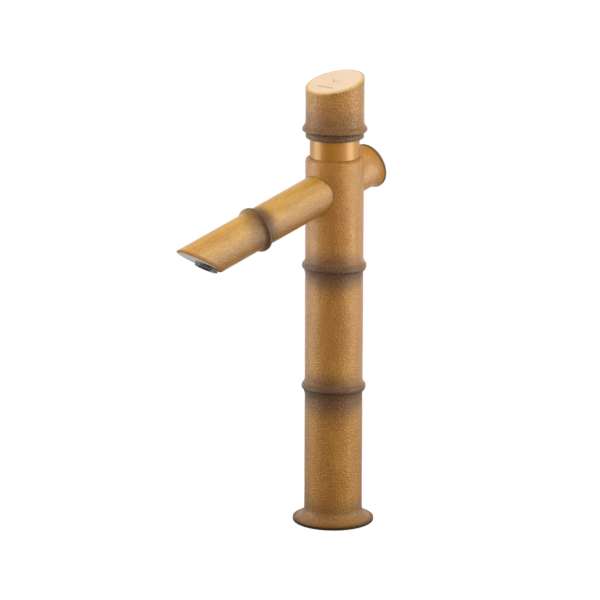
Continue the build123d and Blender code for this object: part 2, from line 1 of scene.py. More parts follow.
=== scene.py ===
# %% [markdown]
# # A press tap cast as a bamboo stem
# The real object is a single-hole basin tap. Its column, spout, branch stub and cap are metal castings,
# painted like bamboo: ochre with a sandy grain, scorched brown at every node. The cap is pressed down on
# a satin gold sleeve and comes back by itself. The packed model gives every piece its place and size, and
# this script adds what a caster and a painter would: uneven rings, the scar under each ring, and paint.
# The paint also carries painted light and shade: a golden sheen at the sides, lighter tops on the branches,
# a highlight on the cap's rim, and shade round the nodes, darkest under the scars.

# %% Load the packed model
import json
import math

import bpy
import numpy as np
from mathutils import Matrix, Vector


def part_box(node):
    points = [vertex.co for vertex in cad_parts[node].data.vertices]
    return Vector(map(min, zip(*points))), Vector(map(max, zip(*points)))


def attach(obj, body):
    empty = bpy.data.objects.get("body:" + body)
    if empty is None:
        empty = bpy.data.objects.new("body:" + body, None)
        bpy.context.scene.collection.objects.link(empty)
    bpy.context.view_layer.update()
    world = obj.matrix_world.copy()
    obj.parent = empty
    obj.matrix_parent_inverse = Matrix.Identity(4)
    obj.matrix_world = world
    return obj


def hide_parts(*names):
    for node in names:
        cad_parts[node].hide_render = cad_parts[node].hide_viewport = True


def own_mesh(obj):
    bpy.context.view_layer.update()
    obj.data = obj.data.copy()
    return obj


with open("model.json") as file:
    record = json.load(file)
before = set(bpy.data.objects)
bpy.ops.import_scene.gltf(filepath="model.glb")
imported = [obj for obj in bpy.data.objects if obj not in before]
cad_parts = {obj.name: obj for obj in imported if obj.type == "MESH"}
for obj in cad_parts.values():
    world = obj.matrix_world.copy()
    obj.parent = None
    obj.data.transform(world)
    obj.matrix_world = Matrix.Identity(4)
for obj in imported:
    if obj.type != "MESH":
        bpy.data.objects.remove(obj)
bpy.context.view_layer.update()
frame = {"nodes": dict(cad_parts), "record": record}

mm = 0.001

# %% [markdown]
# ## Camera
# The photograph was taken with a long lens, a little above the tap and from its front right side. A long
# lens far away keeps upright edges parallel. The direction, the distance and the lens are worked out for a
# square frame. The lens isn't shifted: the camera is turned a little, so that the middle of the column
# lands beside the middle of the frame, as it does in the photograph.

# %% Camera from direction, distance and lens
frame_pixels = 600
azimuth = math.radians(45.906)
elevation = math.radians(14.1)
roll = math.radians(0.167)
camera_distance = 2.3641
sensor_mm = 36
lens_pixels = 4051.6
target_right_pixels = 33.995
target_up_pixels = -6.475
target = Vector((0, 0, 130 * mm))

towards_camera = Vector((
    math.sin(azimuth) * math.cos(elevation),
    -math.cos(azimuth) * math.cos(elevation),
    math.sin(elevation),
))
aim_right = Vector((math.cos(azimuth), math.sin(azimuth), 0))
aim_up = towards_camera.cross(aim_right)
gaze = -towards_camera - aim_right * (target_right_pixels / lens_pixels)
gaze = (gaze - aim_up * (target_up_pixels / lens_pixels)).normalized()
level_right = gaze.cross(Vector((0, 0, 1))).normalized()
level_up = level_right.cross(gaze)
camera_right = level_right * math.cos(roll) + level_up * math.sin(roll)
camera_up = level_up * math.cos(roll) - level_right * math.sin(roll)


def put(name, data):
    """New object in the scene, for a camera, a mesh or a lamp."""
    made = bpy.data.objects.new(name, data)
    bpy.context.scene.collection.objects.link(made)
    return made


camera = put("camera", bpy.data.cameras.new("camera"))
camera.matrix_world = Matrix.Translation(target + towards_camera * camera_distance) @ Matrix(
    (camera_right, camera_up, -gaze)
).transposed().to_4x4()
camera.data.sensor_width = sensor_mm
camera.data.lens = sensor_mm * lens_pixels / frame_pixels
camera.data.clip_end = 20
bpy.context.scene.camera = camera
bpy.context.scene.view_settings.view_transform = "Standard"
print("lens", round(camera.data.lens, 1), "mm, camera at", [round(c, 3) for c in camera.location])

# %% [markdown]
# ## Measures
# Sizes that the packed model can give are read from it. The rest repeat the sizes that the castings were
# drawn with, in millimetres, so that every new skin has the outer form of the piece it stands for. A hair
# keeps two rows apart that would otherwise lie on each other.

# %% Sizes of the castings
foot_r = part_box("column")[1].x
foot_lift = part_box("column")[0].z
column_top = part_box("column")[1].z
cap_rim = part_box("push_cap")[0].z
column_r = 17 * mm
node_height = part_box("push_cap")[1].x - column_r
node_below = 6.2 * mm
node_above = 4.8 * mm
lower_node_z = 82.9 * mm
upper_node_z = 155.3 * mm
cap_node_z = 236.0 * mm
cap_node_below = 3.6 * mm
spout_z = 202.7 * mm
spout_wall = 5.0 * mm
spout_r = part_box("spout_nipple")[1].x + spout_wall
slope = math.radians(15)
hair = 0.02 * mm
print("foot radius", round(foot_r / mm, 2), "node height", round(node_height / mm, 2), "mm")

# %% [markdown]
# ## From rows of points to a skin
# Every casting here is a closed tube in both directions: its outline runs up the outside and back down the
# inside, and each row of points goes once round the axis. Such a skin has no poles and no open edges. It
# could be drawn by hand and spun, but a grid worked out as whole arrays lets every row swell, tilt or
# wander by a formula. The sign of the enclosed volume says whether the faces look outwards.

# %% Skin over a grid of points
def round_angles(count):
    """Angles of the points of one row, as one line of an array."""
    return (np.arange(count) * 2 * np.pi / count)[None, :]


def lathe(radius, angle, along):
    """Points of a turned piece: (r cos a, r sin a, h), for every pair of radius and angle."""
    return np.stack(np.broadcast_arrays(radius * np.cos(angle), radius * np.sin(angle), along), -1)


def skin(name, points, body, stands_for, sharp_degrees=38):
    """Closed mesh over a grid of points, shape (rows, columns, 3).

    Face (i, j) joins points (i, j), (i, j+1), (i+1, j+1) and (i+1, j), with both counts wrapping round.
    The volume is the sum over triangles of a . (b x c) / 6; if it is negative, all faces are reversed.
    """
    rows, columns = points.shape[:2]
    index = np.arange(rows * columns).reshape(rows, columns)
    beside = np.roll(index, -1, 1)
    above = np.roll(index, -1, 0)
    across = np.roll(above, -1, 1)
    quads = np.stack([index, beside, across, above], -1).reshape(-1, 4)
    flat = points.reshape(-1, 3)
    a, b, c, d = (flat[quads[:, k]] for k in range(4))
    volume = (a * (np.cross(b, c) + np.cross(c, d))).sum() / 6
    if volume < 0:
        quads = quads[:, ::-1]
    mesh = bpy.data.meshes.new(name)
    mesh.vertices.add(len(flat))
    mesh.vertices.foreach_set("co", flat.astype(np.float32).ravel())
    mesh.loops.add(quads.size)
    mesh.loops.foreach_set("vertex_index", quads.astype(np.int32).ravel())
    mesh.polygons.add(len(quads))
    mesh.polygons.foreach_set("loop_start", np.arange(0, quads.size, 4, dtype=np.int32))
    mesh.polygons.foreach_set("use_smooth", np.ones(len(quads), bool))
    mesh.update(calc_edges=True)
    mesh.validate()
    mesh.set_sharp_from_angle(angle=math.radians(sharp_degrees))
    piece = put(name, mesh)
    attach(piece, body)
    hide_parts(stands_for)
    print(f"{name}: {len(quads)} faces, {abs(volume) / mm ** 3:.0f} mm3 of metal")
    return piece


print("four points of a row lie at angles", np.round(np.degrees(round_angles(4))[0]))

# %% Straight runs, bends and arcs of an outline
def shares(count):
    """Even shares from 0 on, one for each row, with 1 left to the next row."""
    return (np.arange(count) / count)[:, None]


def run(start, end, step):
    """Points evenly spaced on a straight line, start included and end left to the next stretch."""
    start, end = np.array(start, float), np.array(end, float)
    count = max(1, round(float(np.linalg.norm(end - start)) / step))
    return start + shares(count) * (end - start)


def bent(corners, steps):
    """Straight runs from corner to corner, each with its own step between the points."""
    return np.concatenate([run(*ends) for ends in zip(corners, corners[1:], steps)])


def arc(centre, radius, first, last, count):
    """Points on a circle from one angle to another, in degrees, with the last left out."""
    angle = np.radians(first + (last - first) * np.arange(count) / count)
    return np.array(centre) + radius * np.stack([np.cos(angle), np.sin(angle)], -1)


def all_round(outline, columns):
    """Radius and height of every point, for an outline that is the same all the way round."""
    outline = np.array(outline)
    return np.repeat(outline[:, :1], columns, 1), np.repeat(outline[:, 1:], columns, 1)


print("a quarter arc in three points:", np.round(arc((0, 0), 1, 0, 90, 3), 2).tolist())

# %% [markdown]
# ## Bamboo nodes
# A bamboo node is a soft ridge, and just under it runs the scar where a sheath once sat: a thin uneven
# step, close under the crest at the front and lower at the sides. The casting copies both. The ridge is
# two arcs on each side of the crest, and the scar is a step whose height wanders round the stem.

# %% Ridge, scar and the slight waves of a casting
crest_share = 0.32
front_angle = azimuth - math.pi / 2
column_scar = 2.1 * mm
cap_scar = 1.4 * mm
spout_scar = 1.9 * mm
scar_depth = 0.50 * mm
scar_lean = math.radians(30)
scar_tilt, scar_flutter = 0.55, 0.07
step_low, step_high = -0.12 * mm, 0.30 * mm
healing = 2.4 * mm
lip_size, lip_share = 0.5 * mm, 0.08
casting_wave = 0.05 * mm
waves_round_stem = (2, 3, 3, 4, 5, 7)
shortest_wave, longest_wave = 22, 75


def ridge(u, height, below, above):
    """How far a node stands out, at u above its crest.

    On each side, an arc that is round at the crest and one that is hollow at the foot share a tangent:
    with turn = 2 atan(height / reach), their radii are share * reach / sin(turn) and
    (1 - share) * reach / sin(turn).
    """
    reach = np.where(u > 0, above, below)
    turn = 2 * np.arctan2(height, reach)
    crest_radius = crest_share * reach / np.sin(turn)
    foot_radius = (1 - crest_share) * reach / np.sin(turn)
    gone = np.minimum(np.abs(u), reach)
    near = np.minimum(gone, crest_share * reach)
    on_crest = height - crest_radius + np.sqrt(crest_radius ** 2 - near ** 2)
    left = np.minimum(reach - gone, (1 - crest_share) * reach)
    on_foot = foot_radius - np.sqrt(foot_radius ** 2 - left ** 2)
    return np.where(gone < crest_share * reach, on_crest, on_foot)


def scar_line(turned, drop, cosine=np.cos):
    """Height of the scar against the crest: near it at the left of the front, lower elsewhere.

    turned is the angle from the front. The line is a cosine of one wave round the stem and a slight one
    of two: -drop (1 - tilt cos(a + lean) - flutter cos 2(a + lean)). The same words work for an array
    and for a number in a node tree.
    """
    leaning = turned + scar_lean
    return -drop * (1 - scar_tilt * cosine(leaning) - scar_flutter * cosine(2 * leaning))


def smooth_step(value, low, high):
    """0 below low, 1 above high, and 3t^2 - 2t^3 between them."""
    t = np.clip((value - low) / (high - low), 0, 1)
    return t * t * (3 - 2 * t)


def scar(u, line, depth):
    """Step down below the line, which heals within a few millimetres, and a faint lip above it."""
    step = smooth_step(line - u, step_low, step_high)
    healed = np.exp(-np.maximum(line - u, 0) / healing)
    lip = np.exp(-((u - line - lip_size) / lip_size) ** 2)
    return depth * (lip_share * lip - step * healed)


def ripple(along, angle, seed, size):
    """Slight waves of a casting: six cosines, each with its own waves round and wave length along.

    Their mean m lies between -1 and 1, and -size (1 - m) only ever lowers the surface, so the skin stays
    inside the packed piece.
    """
    draw = np.random.default_rng(seed)
    total = 0
    for waves in waves_round_stem:
        wave_length = draw.uniform(shortest_wave, longest_wave) * mm
        phase, lean = draw.uniform(0, 2 * np.pi, 2)
        total = total + np.cos(waves * angle + phase + 2 * np.pi * along / wave_length + lean)
    return -size * (1 - total / len(waves_round_stem))


def stem_heights(low, high, crests, before, after, fine, coarse):
    """Heights of the rows of a stem: fine steps round each crest and coarse ones between."""
    stops = [low] + [stop for crest in crests for stop in (crest - before, crest + after)] + [high]
    steps = [coarse, fine] * len(crests) + [coarse]
    return bent([(stop,) for stop in stops], steps)[:, 0]


crest_reach = np.array([-1, 0, 1]) * mm
print("a node 1 mm below, at and above its crest:", np.round(
    ridge(crest_reach, node_height, node_below, node_above) / mm, 2
), "mm")

# %% [markdown]
# ## Column
# The column stands on a flared foot: a quarter of a hollow circle that ends in a thin upright edge. Its
# outline goes round the foot's edge, up past two nodes, over a rounded lip and down inside. The outside
# could be one straight wall with rings laid on it, but the rings grow out of the wall, so the radius of
# every point is the wall's radius plus ridge, scar and ripple.

# %% Outline of the column
foot_edge = 2.6 * mm
foot_round = 0.7 * mm
foot_edge_round = 0.3 * mm
top_round = 2.3 * mm
flare = foot_r - column_r
well_r = column_r - 2.4 * mm
bore_r = column_r - 3.4 * mm
well_z = 166.0 * mm
floor_z = 14.0 * mm
thread_hole_r = 10.51 * mm
gasket_inner, gasket_outer, gasket_top = 13.9 * mm, 20.6 * mm, 1.8 * mm

wall = stem_heights(
    foot_edge + flare, column_top - top_round, (lower_node_z, upper_node_z),
    before=8 * mm, after=6 * mm, fine=0.3 * mm, coarse=2.2 * mm,
)
before_wall = np.concatenate([
    bent([
        (thread_hole_r, foot_lift), (gasket_inner, foot_lift), (gasket_inner, gasket_top),
        (gasket_outer, gasket_top), (gasket_outer, foot_lift), (foot_r - foot_round, foot_lift),
    ], (4 * mm, 2 * mm, 8 * mm, 2 * mm, 3 * mm)),
    arc((foot_r - foot_round, foot_lift + foot_round), foot_round, -90, 0, 6),
    run((foot_r, foot_lift + foot_round), (foot_r, foot_edge - foot_edge_round), 0.5 * mm),
    arc((foot_r - foot_edge_round, foot_edge - foot_edge_round), foot_edge_round, 0, 75, 4),
    arc((foot_r, foot_edge + flare), flare, 267, 180, 30),
])
after_wall = np.concatenate([
    arc((column_r - top_round, column_top - top_round), top_round, 0, 90, 12),
    bent([
        (column_r - top_round, column_top), (well_r, column_top), (well_r, well_z), (bore_r, well_z),
        (bore_r, floor_z), (thread_hole_r, floor_z), (thread_hole_r, foot_lift),
    ], (1 * mm, 12 * mm, 2 * mm, 30 * mm, 4 * mm, 8 * mm)),
])
outline = np.concatenate([before_wall, np.stack([np.full(len(wall), column_r), wall], -1), after_wall])
print("column's outline:", len(outline), "points,", len(wall), "of them on the wall")

# %% Column skin
column_columns = 304
column_sway = 0.18 * mm
calm_foot, calm_top = 12 * mm, 6 * mm

angle = round_angles(column_columns)
turned = angle - front_angle
radius, height = all_round(outline, column_columns)
outside = slice(len(before_wall), len(before_wall) + len(wall))
swell = 0
for crest, wander in ((lower_node_z, 0.9), (upper_node_z, 2.4)):
    u = height[outside] - crest
    sway = column_sway * np.cos(2 * angle + wander)
    swell = swell + ridge(u - sway, node_height, node_below, node_above)
    swell = swell + scar(u, scar_line(turned, column_scar), scar_depth)
above_foot = smooth_step(wall, wall[0], wall[0] + calm_foot)
below_top = 1 - smooth_step(wall, wall[-1] - calm_top, wall[-1])
quiet = (above_foot * below_top)[:, None]
radius[outside] += swell + quiet * ripple(height[outside], angle, seed=7, size=casting_wave)
column_skin = skin("column_skin", lathe(radius, angle, height), "tap_body", "column")

# %% [markdown]
# ## Cap
# The cap is a short hollow stem with a node close to its mouth. Its top is sawn off at a slant, so the
# upper rows can't be level: each one runs a share of the way from the node to the slanted plane. Where
# wall and plane meet, a rounded edge catches the light; it is a curve with one handle at the corner.

# %% Sizes and slanted top of the cap
cap_axis_z = 263.7 * mm
cap_slant = math.radians(15)
cap_bore = 14.5 * mm
cap_rim_edge = 15.8 * mm
cap_edge_round = 1.0 * mm
face_seat_r = column_r - 1.1 * mm
face_depth = 1.5 * mm / math.cos(cap_slant)
core_r = column_r - 3.8 * mm
web_low, web_top, boss_low = 250.8 * mm, 253.8 * mm, 244.4 * mm
screw_hole, plunger_hole, boss_r = 2.03 * mm, 3.1 * mm, 5.6 * mm
slot_half, slot_r, slot_top = 1.1 * mm, 15.9 * mm, 246.3 * mm
cap_columns = 288

angle = round_angles(cap_columns)
turned = angle - front_angle


def slanted(radius):
    """Height of the slanted top above a point at that radius: z0 + y tan(slant)."""
    return cap_axis_z + radius * np.sin(angle) * math.tan(cap_slant)


top_edge = slanted(column_r)
print("cap's top edge:", round(top_edge.min() / mm, 1), "to", round(top_edge.max() / mm, 1), "mm")

# %% Side of the cap, with its node and a shallow dent
cap_sway = 0.15 * mm
dent_at, dent_width, dent_depth = math.radians(-37), 0.13, 0.35 * mm

collar_round = column_r - cap_rim_edge
ring_end = cap_node_z + node_above
lower = stem_heights(
    cap_rim + collar_round, ring_end + 2 * mm, (cap_node_z,),
    before=3.9 * mm, after=5 * mm, fine=0.28 * mm, coarse=1 * mm,
)
edge_start = top_edge - cap_edge_round
above_ring = lower[-1] + 1 * mm
upper = above_ring + shares(13) * (edge_start - above_ring)
side_height = np.concatenate([np.repeat(lower[:, None], cap_columns, 1), upper])
u = side_height - cap_node_z
under_edge = edge_start - side_height
sway = cap_sway * np.cos(2 * angle + 1)
side_radius = column_r + ridge(u - sway, node_height, cap_node_below, node_above)
side_radius = side_radius + scar(u, scar_line(turned, cap_scar), scar_depth)
dent = np.exp(-((turned - dent_at) / dent_width) ** 2) * smooth_step(u, 2 * mm, 9 * mm)
side_radius = side_radius - dent_depth * dent * smooth_step(under_edge, 2 * mm, 9 * mm)
quiet = smooth_step(side_height, ring_end, ring_end + 6 * mm) * smooth_step(under_edge, 0, 4 * mm)
side_radius = side_radius + quiet * ripple(side_height, angle, seed=11, size=casting_wave)
print("cap's side:", round(side_radius.max() / mm, 2), "mm at its widest")

# %% Cap skin
t = shares(8)
edge_radius = column_r - cap_edge_round * t ** 2 + 0 * angle
edge_end = slanted(column_r - cap_edge_round)
edge_height = (1 - t) ** 2 * edge_start + 2 * t * (1 - t) * top_edge + t ** 2 * edge_end

seat_radius = np.array([column_r - cap_edge_round, face_seat_r, face_seat_r, core_r])[:, None] + 0 * angle
seat_drop = np.array([0, 0, face_depth, face_depth])[:, None]
seat_height = slanted(seat_radius) - seat_drop

inside_radius, inside_height = all_round([
    (core_r, web_top),
    (screw_hole, web_top),
    (screw_hole, web_low),
    (plunger_hole, web_low),
    (plunger_hole, boss_low),
    (boss_r, boss_low),
    (boss_r, web_low),
    (cap_bore, web_low),
    (cap_bore, slot_top + hair),
    (cap_bore, slot_top),
    (cap_bore, cap_rim),
], cap_columns)
in_slot = (np.abs(cap_bore * np.cos(angle)) < slot_half) & (np.sin(angle) > 0)
inside_radius[-2:] = np.where(in_slot, slot_r, inside_radius[-2:])
rim_radius, rim_height = all_round(np.concatenate([
    run((cap_rim_edge, cap_rim), (cap_rim_edge + hair, cap_rim), 1 * mm),
    arc((cap_rim_edge, cap_rim + collar_round), collar_round, -80, 0, 8),
]), cap_columns)
rim_radius[0] = np.where(in_slot, slot_r + hair, rim_radius[0])
radius = np.concatenate([rim_radius, side_radius, edge_radius, seat_radius, inside_radius])
height = np.concatenate([rim_height, side_height, edge_height, seat_height, inside_height])
cap_skin = skin("cap_skin", lathe(radius, angle, height), "press_cap", "push_cap")

# %% [markdown]
# ## Spout
# The spout slopes down from the column at fifteen degrees. Its root is coped, which means that it is cut
# to the curve of the column, and its end is sawn at forty-five degrees and holds the aerator. Both ends
# are worked out point by point: where a straight line along the spout meets the column's round wall, and
# where it meets the slanted plane. Rows between them keep an even spacing. Round the sawn end runs a small
# arc that touches wall and plane: it turns through 90 degrees plus the plane's lean at that side.

# %% Frames for sloping pieces
def axis_frame(origin, along, up):
    """Function that takes points given as (side, up, along) into the shared frame."""
    side = np.cross(up, along)

    def place(points):
        return origin + points[..., :1] * side + points[..., 1:2] * up + points[..., 2:] * along

    return place


branch_origin = np.array([0, 0, spout_z])
spout_axis = np.array([0, -math.cos(slope), -math.sin(slope)])
spout_up = np.array([0, -math.sin(slope), math.cos(slope)])
stub_axis = -spout_axis
in_spout = axis_frame(branch_origin, spout_axis, spout_up)
in_stub = axis_frame(branch_origin, stub_axis, spout_up)


def cope(radius, angle, sink, leans):
    """Distance along a sloping branch at which it meets the column.

    A point at that radius and angle has x = r cos a. It meets the column where y = sqrt(R^2 - x^2), so
    the distance is (sqrt(R^2 - x^2) + leans * r sin a sin(slope)) / cos(slope).
    """
    x = radius * np.cos(angle)
    reach = np.sqrt((column_r - sink) ** 2 - x ** 2)
    return (reach + leans * radius * np.sin(angle) * math.sin(slope)) / math.cos(slope)


spout_front = math.atan2(Vector(spout_up).dot(towards_camera), towards_camera.x)
print("spout meets the column at", np.round(cope(spout_r, np.radians([90, 0, -90]), 0, -1) / mm, 2), "mm")

# %% Sizes and sawn end of the spout
spout_length = 110 * mm
spout_cut = math.radians(45)
spout_face_r = spout_r - 1.1 * mm
nipple_hole = 6.6 * mm
nipple_end = 34 * mm
spout_bore = 5.0 * mm
bore_end = 92 * mm
aerator_offset = 7.2 * mm
pocket_r = 6.95 * mm
pocket_depth = 7.5 * mm
plate_depth = 1.5 * mm
spout_columns = 240

angle = round_angles(spout_columns)


def sawn(radius, drop=0):
    """Distance along the spout to the sawn plane, or to one that lies drop behind it."""
    return spout_length + radius * np.sin(angle) * math.tan(spout_cut) - drop / math.cos(spout_cut)


def sawn_circle(radius, offset, drop):
    """Row for a circle that lies in the sawn plane: its side, up and along coordinates."""
    across_plane = offset + radius * np.sin(angle)
    up = across_plane * math.cos(spout_cut) + drop * math.sin(spout_cut)
    along = spout_length + across_plane * math.sin(spout_cut) - drop * math.cos(spout_cut)
    return np.stack([radius * np.cos(angle), up, along], -1)


print("sawn end: from", round(sawn(spout_r).min() / mm, 1), "to", round(sawn(spout_r).max() / mm, 1), "mm")

# %% Outside of the spout
spout_node_at = 65.2 * mm
spout_node_height = 1.9 * mm
spout_node_in = 5.0 * mm
spout_node_out = 4.0 * mm
spout_edge_round = 0.52 * mm
spout_scar_depth = 0.35 * mm
spout_sway = 0.15 * mm
spout_wave = 0.04 * mm
root_sink = 0.35 * mm
level_from, level_to = 34 * mm, 84 * mm

root = cope(spout_r, angle, root_sink, -1)
near_rows = root + shares(10) * (level_from - root)
node_rows = stem_heights(
    level_from, level_to, (spout_node_at,),
    before=8 * mm, after=7 * mm, fine=0.28 * mm, coarse=2 * mm,
)[:, None] + 0 * angle
edge_r = spout_r - spout_edge_round
lean = np.sin(angle) * math.tan(spout_cut)
edge_centre = sawn(edge_r) - spout_edge_round * np.sqrt(1 + lean ** 2)
far_rows = level_to + shares(14) * (edge_centre - level_to)
wall_along = np.concatenate([near_rows, node_rows, far_rows])
u = wall_along - spout_node_at
sway = spout_sway * np.cos(angle + 2)
wall_radius = spout_r + ridge(u - sway, spout_node_height, spout_node_in, spout_node_out)
wall_radius = wall_radius + scar(u, scar_line(angle - spout_front, spout_scar), spout_scar_depth)
quiet = smooth_step(wall_along, 20 * mm, 30 * mm) * smooth_step(edge_centre - wall_along, 0, 6 * mm)
wall_radius = wall_radius + quiet * ripple(wall_along, angle, seed=5, size=spout_wave)

bend = (np.arange(8) / 7)[:, None] * (math.pi / 2 + np.arctan(lean))
edge_radius = edge_r + spout_edge_round * np.cos(bend)
edge_along = edge_centre + spout_edge_round * np.sin(bend)
print("spout's outside:", wall_along.shape[0] + edge_along.shape[0], "rows of", spout_columns, "points")

# %% Spout skin
rows = np.concatenate([
    lathe(wall_radius, angle, wall_along),
    lathe(edge_radius, angle, edge_along),
    lathe(spout_face_r, angle, sawn(spout_face_r)),
    lathe(spout_face_r, angle, sawn(spout_face_r, plate_depth)),
    sawn_circle(pocket_r, -aerator_offset, plate_depth),
    sawn_circle(pocket_r, -aerator_offset, pocket_depth),
    lathe(spout_bore, angle, bore_end),
    lathe(spout_bore, angle, nipple_end),
    lathe(nipple_hole, angle, nipple_end),
    lathe(nipple_hole, angle, cope(nipple_hole, angle, root_sink, -1)),
])
spout_skin = skin("spout_skin", in_spout(rows), "tap_body", "spout")

# %% [markdown]
# ## Branch stub
# Opposite the spout a cut-off branch flares like a trumpet. Its neck is as thick as the spout, the flare
# is a hollow arc that ends in a rounded rim, and a cream plate closes the end. A spigot at its root
# reaches through the column's wall.

# %% Stub skin
stub_length = 30.2 * mm
stub_rim_r = 13.4 * mm
neck_end = 21 * mm
flare_end = 28 * mm
stub_rim_round = 1.2 * mm
stub_face_r = 11.08 * mm
screw_seat = 19 * mm
stub_face_seat = stub_length - plate_depth
spigot_r, spigot_end = 5.0 * mm, 12.5 * mm
stub_screw_hole, screw_head_hole = 2.1 * mm, 3.7 * mm
flare_turn = 2 * math.atan2(stub_rim_r - spout_r, flare_end - neck_end)
flare_radius = (flare_end - neck_end) / math.sin(flare_turn)
stub_wave = 0.06 * mm
stub_columns = 192

angle = round_angles(stub_columns)
root = cope(spout_r, angle, root_sink, 1)
neck_along = root + shares(6) * (neck_end - root)
neck_radius = spout_r + 0 * neck_along
outline = np.concatenate([
    arc((spout_r + flare_radius, neck_end), flare_radius, 180, 180 - math.degrees(flare_turn), 22),
    run((stub_rim_r, flare_end), (stub_rim_r, stub_length - stub_rim_round), 0.4 * mm),
    arc((stub_rim_r - stub_rim_round, stub_length - stub_rim_round), stub_rim_round, 0, 90, 10),
    bent([
        (stub_rim_r - stub_rim_round, stub_length), (stub_face_r, stub_length),
        (stub_face_r, stub_face_seat), (screw_head_hole, stub_face_seat),
        (screw_head_hole, screw_seat), (stub_screw_hole, screw_seat),
        (stub_screw_hole, spigot_end), (spigot_r, spigot_end), (spigot_r, spigot_end + hair),
    ], (1 * mm, 2 * mm, 9 * mm, 12 * mm, 2 * mm, 9 * mm, 4 * mm, 1 * mm)),
])
radius, along = all_round(outline, stub_columns)
radius = np.concatenate([neck_radius, radius, np.full((1, stub_columns), spigot_r)])
along = np.concatenate([neck_along, along, cope(spigot_r, angle, root_sink, 1)])
quiet = (radius >= spout_r) * smooth_step(along, 16 * mm, 22 * mm)
radius = radius + ripple(along, angle, seed=3, size=stub_wave) * quiet
stub_skin = skin("stub_skin", in_stub(lathe(radius, angle, along)), "tap_body", "rear_stub")

# %% [markdown]
# ## Threaded tail
# Under the counter the tap has a half-inch pipe thread. In the packed model it is a plain rod as thick as
# the thread's crests. A screw thread is one groove that climbs by its pitch in every turn, so on a grid
# its depth only depends on the height minus the pitch times the share of a turn.

# %% Tail with its thread
thread_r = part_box("shank")[1].x
tail_low, tail_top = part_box("shank")[0].z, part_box("shank")[1].z
thread_pitch = 1.814 * mm
thread_depth = 1.162 * mm
flank_slope, flat_share = 1.5, 0.2
lead_in_length, lead_in_slope = 1.6 * mm, 0.7
waterway, mouth, mouth_top = 6.0 * mm, 7.0 * mm, tail_low + 4 * mm
pipe_socket, pipe_bore, socket_low, neck_low = 6.1 * mm, 4.8 * mm, 4.5 * mm, 0.5 * mm
tail_columns = 72
rows_per_pitch = 11


def thread_groove(height, angle):
    """Depth of the groove, from 0 on the crest to 1 at its root.

    With s the share of a turn, height / pitch - angle / 360 degrees, it is a triangle wave in s that is
    steepened and cut off at 0 and 1, which leaves flat crests and roots between straight flanks.
    """
    turn_share = (height / thread_pitch - angle / (2 * np.pi)) % 1
    return np.clip(flank_slope * (1 - np.abs(2 * turn_share - 1)) - flat_share, 0, 1)


angle = round_angles(tail_columns)
rows = round((tail_top - tail_low) / thread_pitch * rows_per_pitch)
height = np.linspace(tail_low, tail_top, rows)[:, None] + 0 * angle
radius = thread_r - thread_depth * thread_groove(height, angle)
lead_in = np.maximum(0, lead_in_length - (height - tail_low)) * lead_in_slope
radius = np.minimum(radius, thread_r - lead_in)
inner_radius, inner_height = all_round([
    (pipe_socket, tail_top), (pipe_socket, socket_low), (pipe_bore, socket_low), (pipe_bore, neck_low),
    (waterway, neck_low), (waterway, mouth_top), (mouth, mouth_top), (mouth, tail_low),
], tail_columns)
radius = np.concatenate([radius, inner_radius])
height = np.concatenate([height, inner_height])
tail_thread = skin("tail_thread", lathe(radius, angle, height), "tap_body", "shank", sharp_degrees=30)

# %% [markdown]
# ## Aerator ring
# The ring that screws into the sawn end stands out a little, with notches for gripping it. It is turned
# about its own axis, square to the sawn face and nearer to the heel than to the tip.

# %% Aerator ring with grip notches
aerator_r = 6.9 * mm
aerator_stand = 1.7 * mm
aerator_back = -6.0 * mm
lip_hole, lip_low, cup_r = 5.0 * mm, 0.9 * mm, 5.6 * mm
ring_round = 0.3 * mm
notch_count = 20
notch_depth = 0.32 * mm
notch_low, notch_full = 0.25 * mm, 0.5 * mm
aerator_columns = 200

angle = round_angles(aerator_columns)
saw_out = spout_axis * math.cos(spout_cut) - spout_up * math.sin(spout_cut)
saw_up = spout_axis * math.sin(spout_cut) + spout_up * math.cos(spout_cut)
aerator_origin = branch_origin + spout_axis * spout_length - saw_up * aerator_offset
in_aerator = axis_frame(aerator_origin, saw_out, saw_up)
outline = np.concatenate([
    bent([
        (aerator_r, aerator_back), (aerator_r, 0), (aerator_r, aerator_stand - ring_round),
    ], (3 * mm, 0.2 * mm)),
    arc((aerator_r - ring_round, aerator_stand - ring_round), ring_round, 0, 90, 6),
    run((aerator_r - ring_round, aerator_stand), (lip_hole + ring_round, aerator_stand), 0.5 * mm),
    arc((lip_hole + ring_round, aerator_stand - ring_round), ring_round, 90, 180, 6),
    bent([
        (lip_hole, aerator_stand - ring_round), (lip_hole, lip_low), (cup_r, lip_low),
        (cup_r, aerator_back), (aerator_r, aerator_back),
    ], (0.4 * mm, 1 * mm, 7 * mm, 2 * mm)),
])
radius, height = all_round(outline, aerator_columns)
notched = smooth_step(np.cos(notch_count * angle), 0.1, 0.6) * smooth_step(height, notch_low, notch_full)
radius = radius - notch_depth * notched * (radius > aerator_r - 0.5 * ring_round)
aerator_ring = skin(
    "aerator_ring", in_aerator(lathe(radius, angle, height)), "tap_body", "aerator_housing",
    sharp_degrees=30,
)

# %% [markdown]
# ## Return spring
# A coil of steel wire between the sleeve's deck and the cap lifts the cap again. It could stay as packed,
# but a rigid coil would stick through the pressed cap. Drawn here as a mesh of its own, it spans the height
# of the packed coil. Its end turns lie closer, as on a real compression spring.

# %% Coil of the return spring
spring_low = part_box("return_spring")[0].z
spring_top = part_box("return_spring")[1].z
wire_r = 0.6 * mm
coil_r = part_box("return_spring")[1].x - wire_r
turns = 5.5
end_turns, end_rise = 0.75, 1.0 * mm
wire_sides = 10
wire_rows = 199


def wire(turned, height):
    """Grid of points round a wire whose centre is at (r cos a, r sin a, z).

    The section's two directions are the radius (cos a, sin a, 0) and the axis Z, which is near enough
    square to a wire that climbs this little.
    """
    around = round_angles(wire_sides)
    return lathe(coil_r + wire_r * np.cos(around), turned, height + wire_r * np.sin(around))


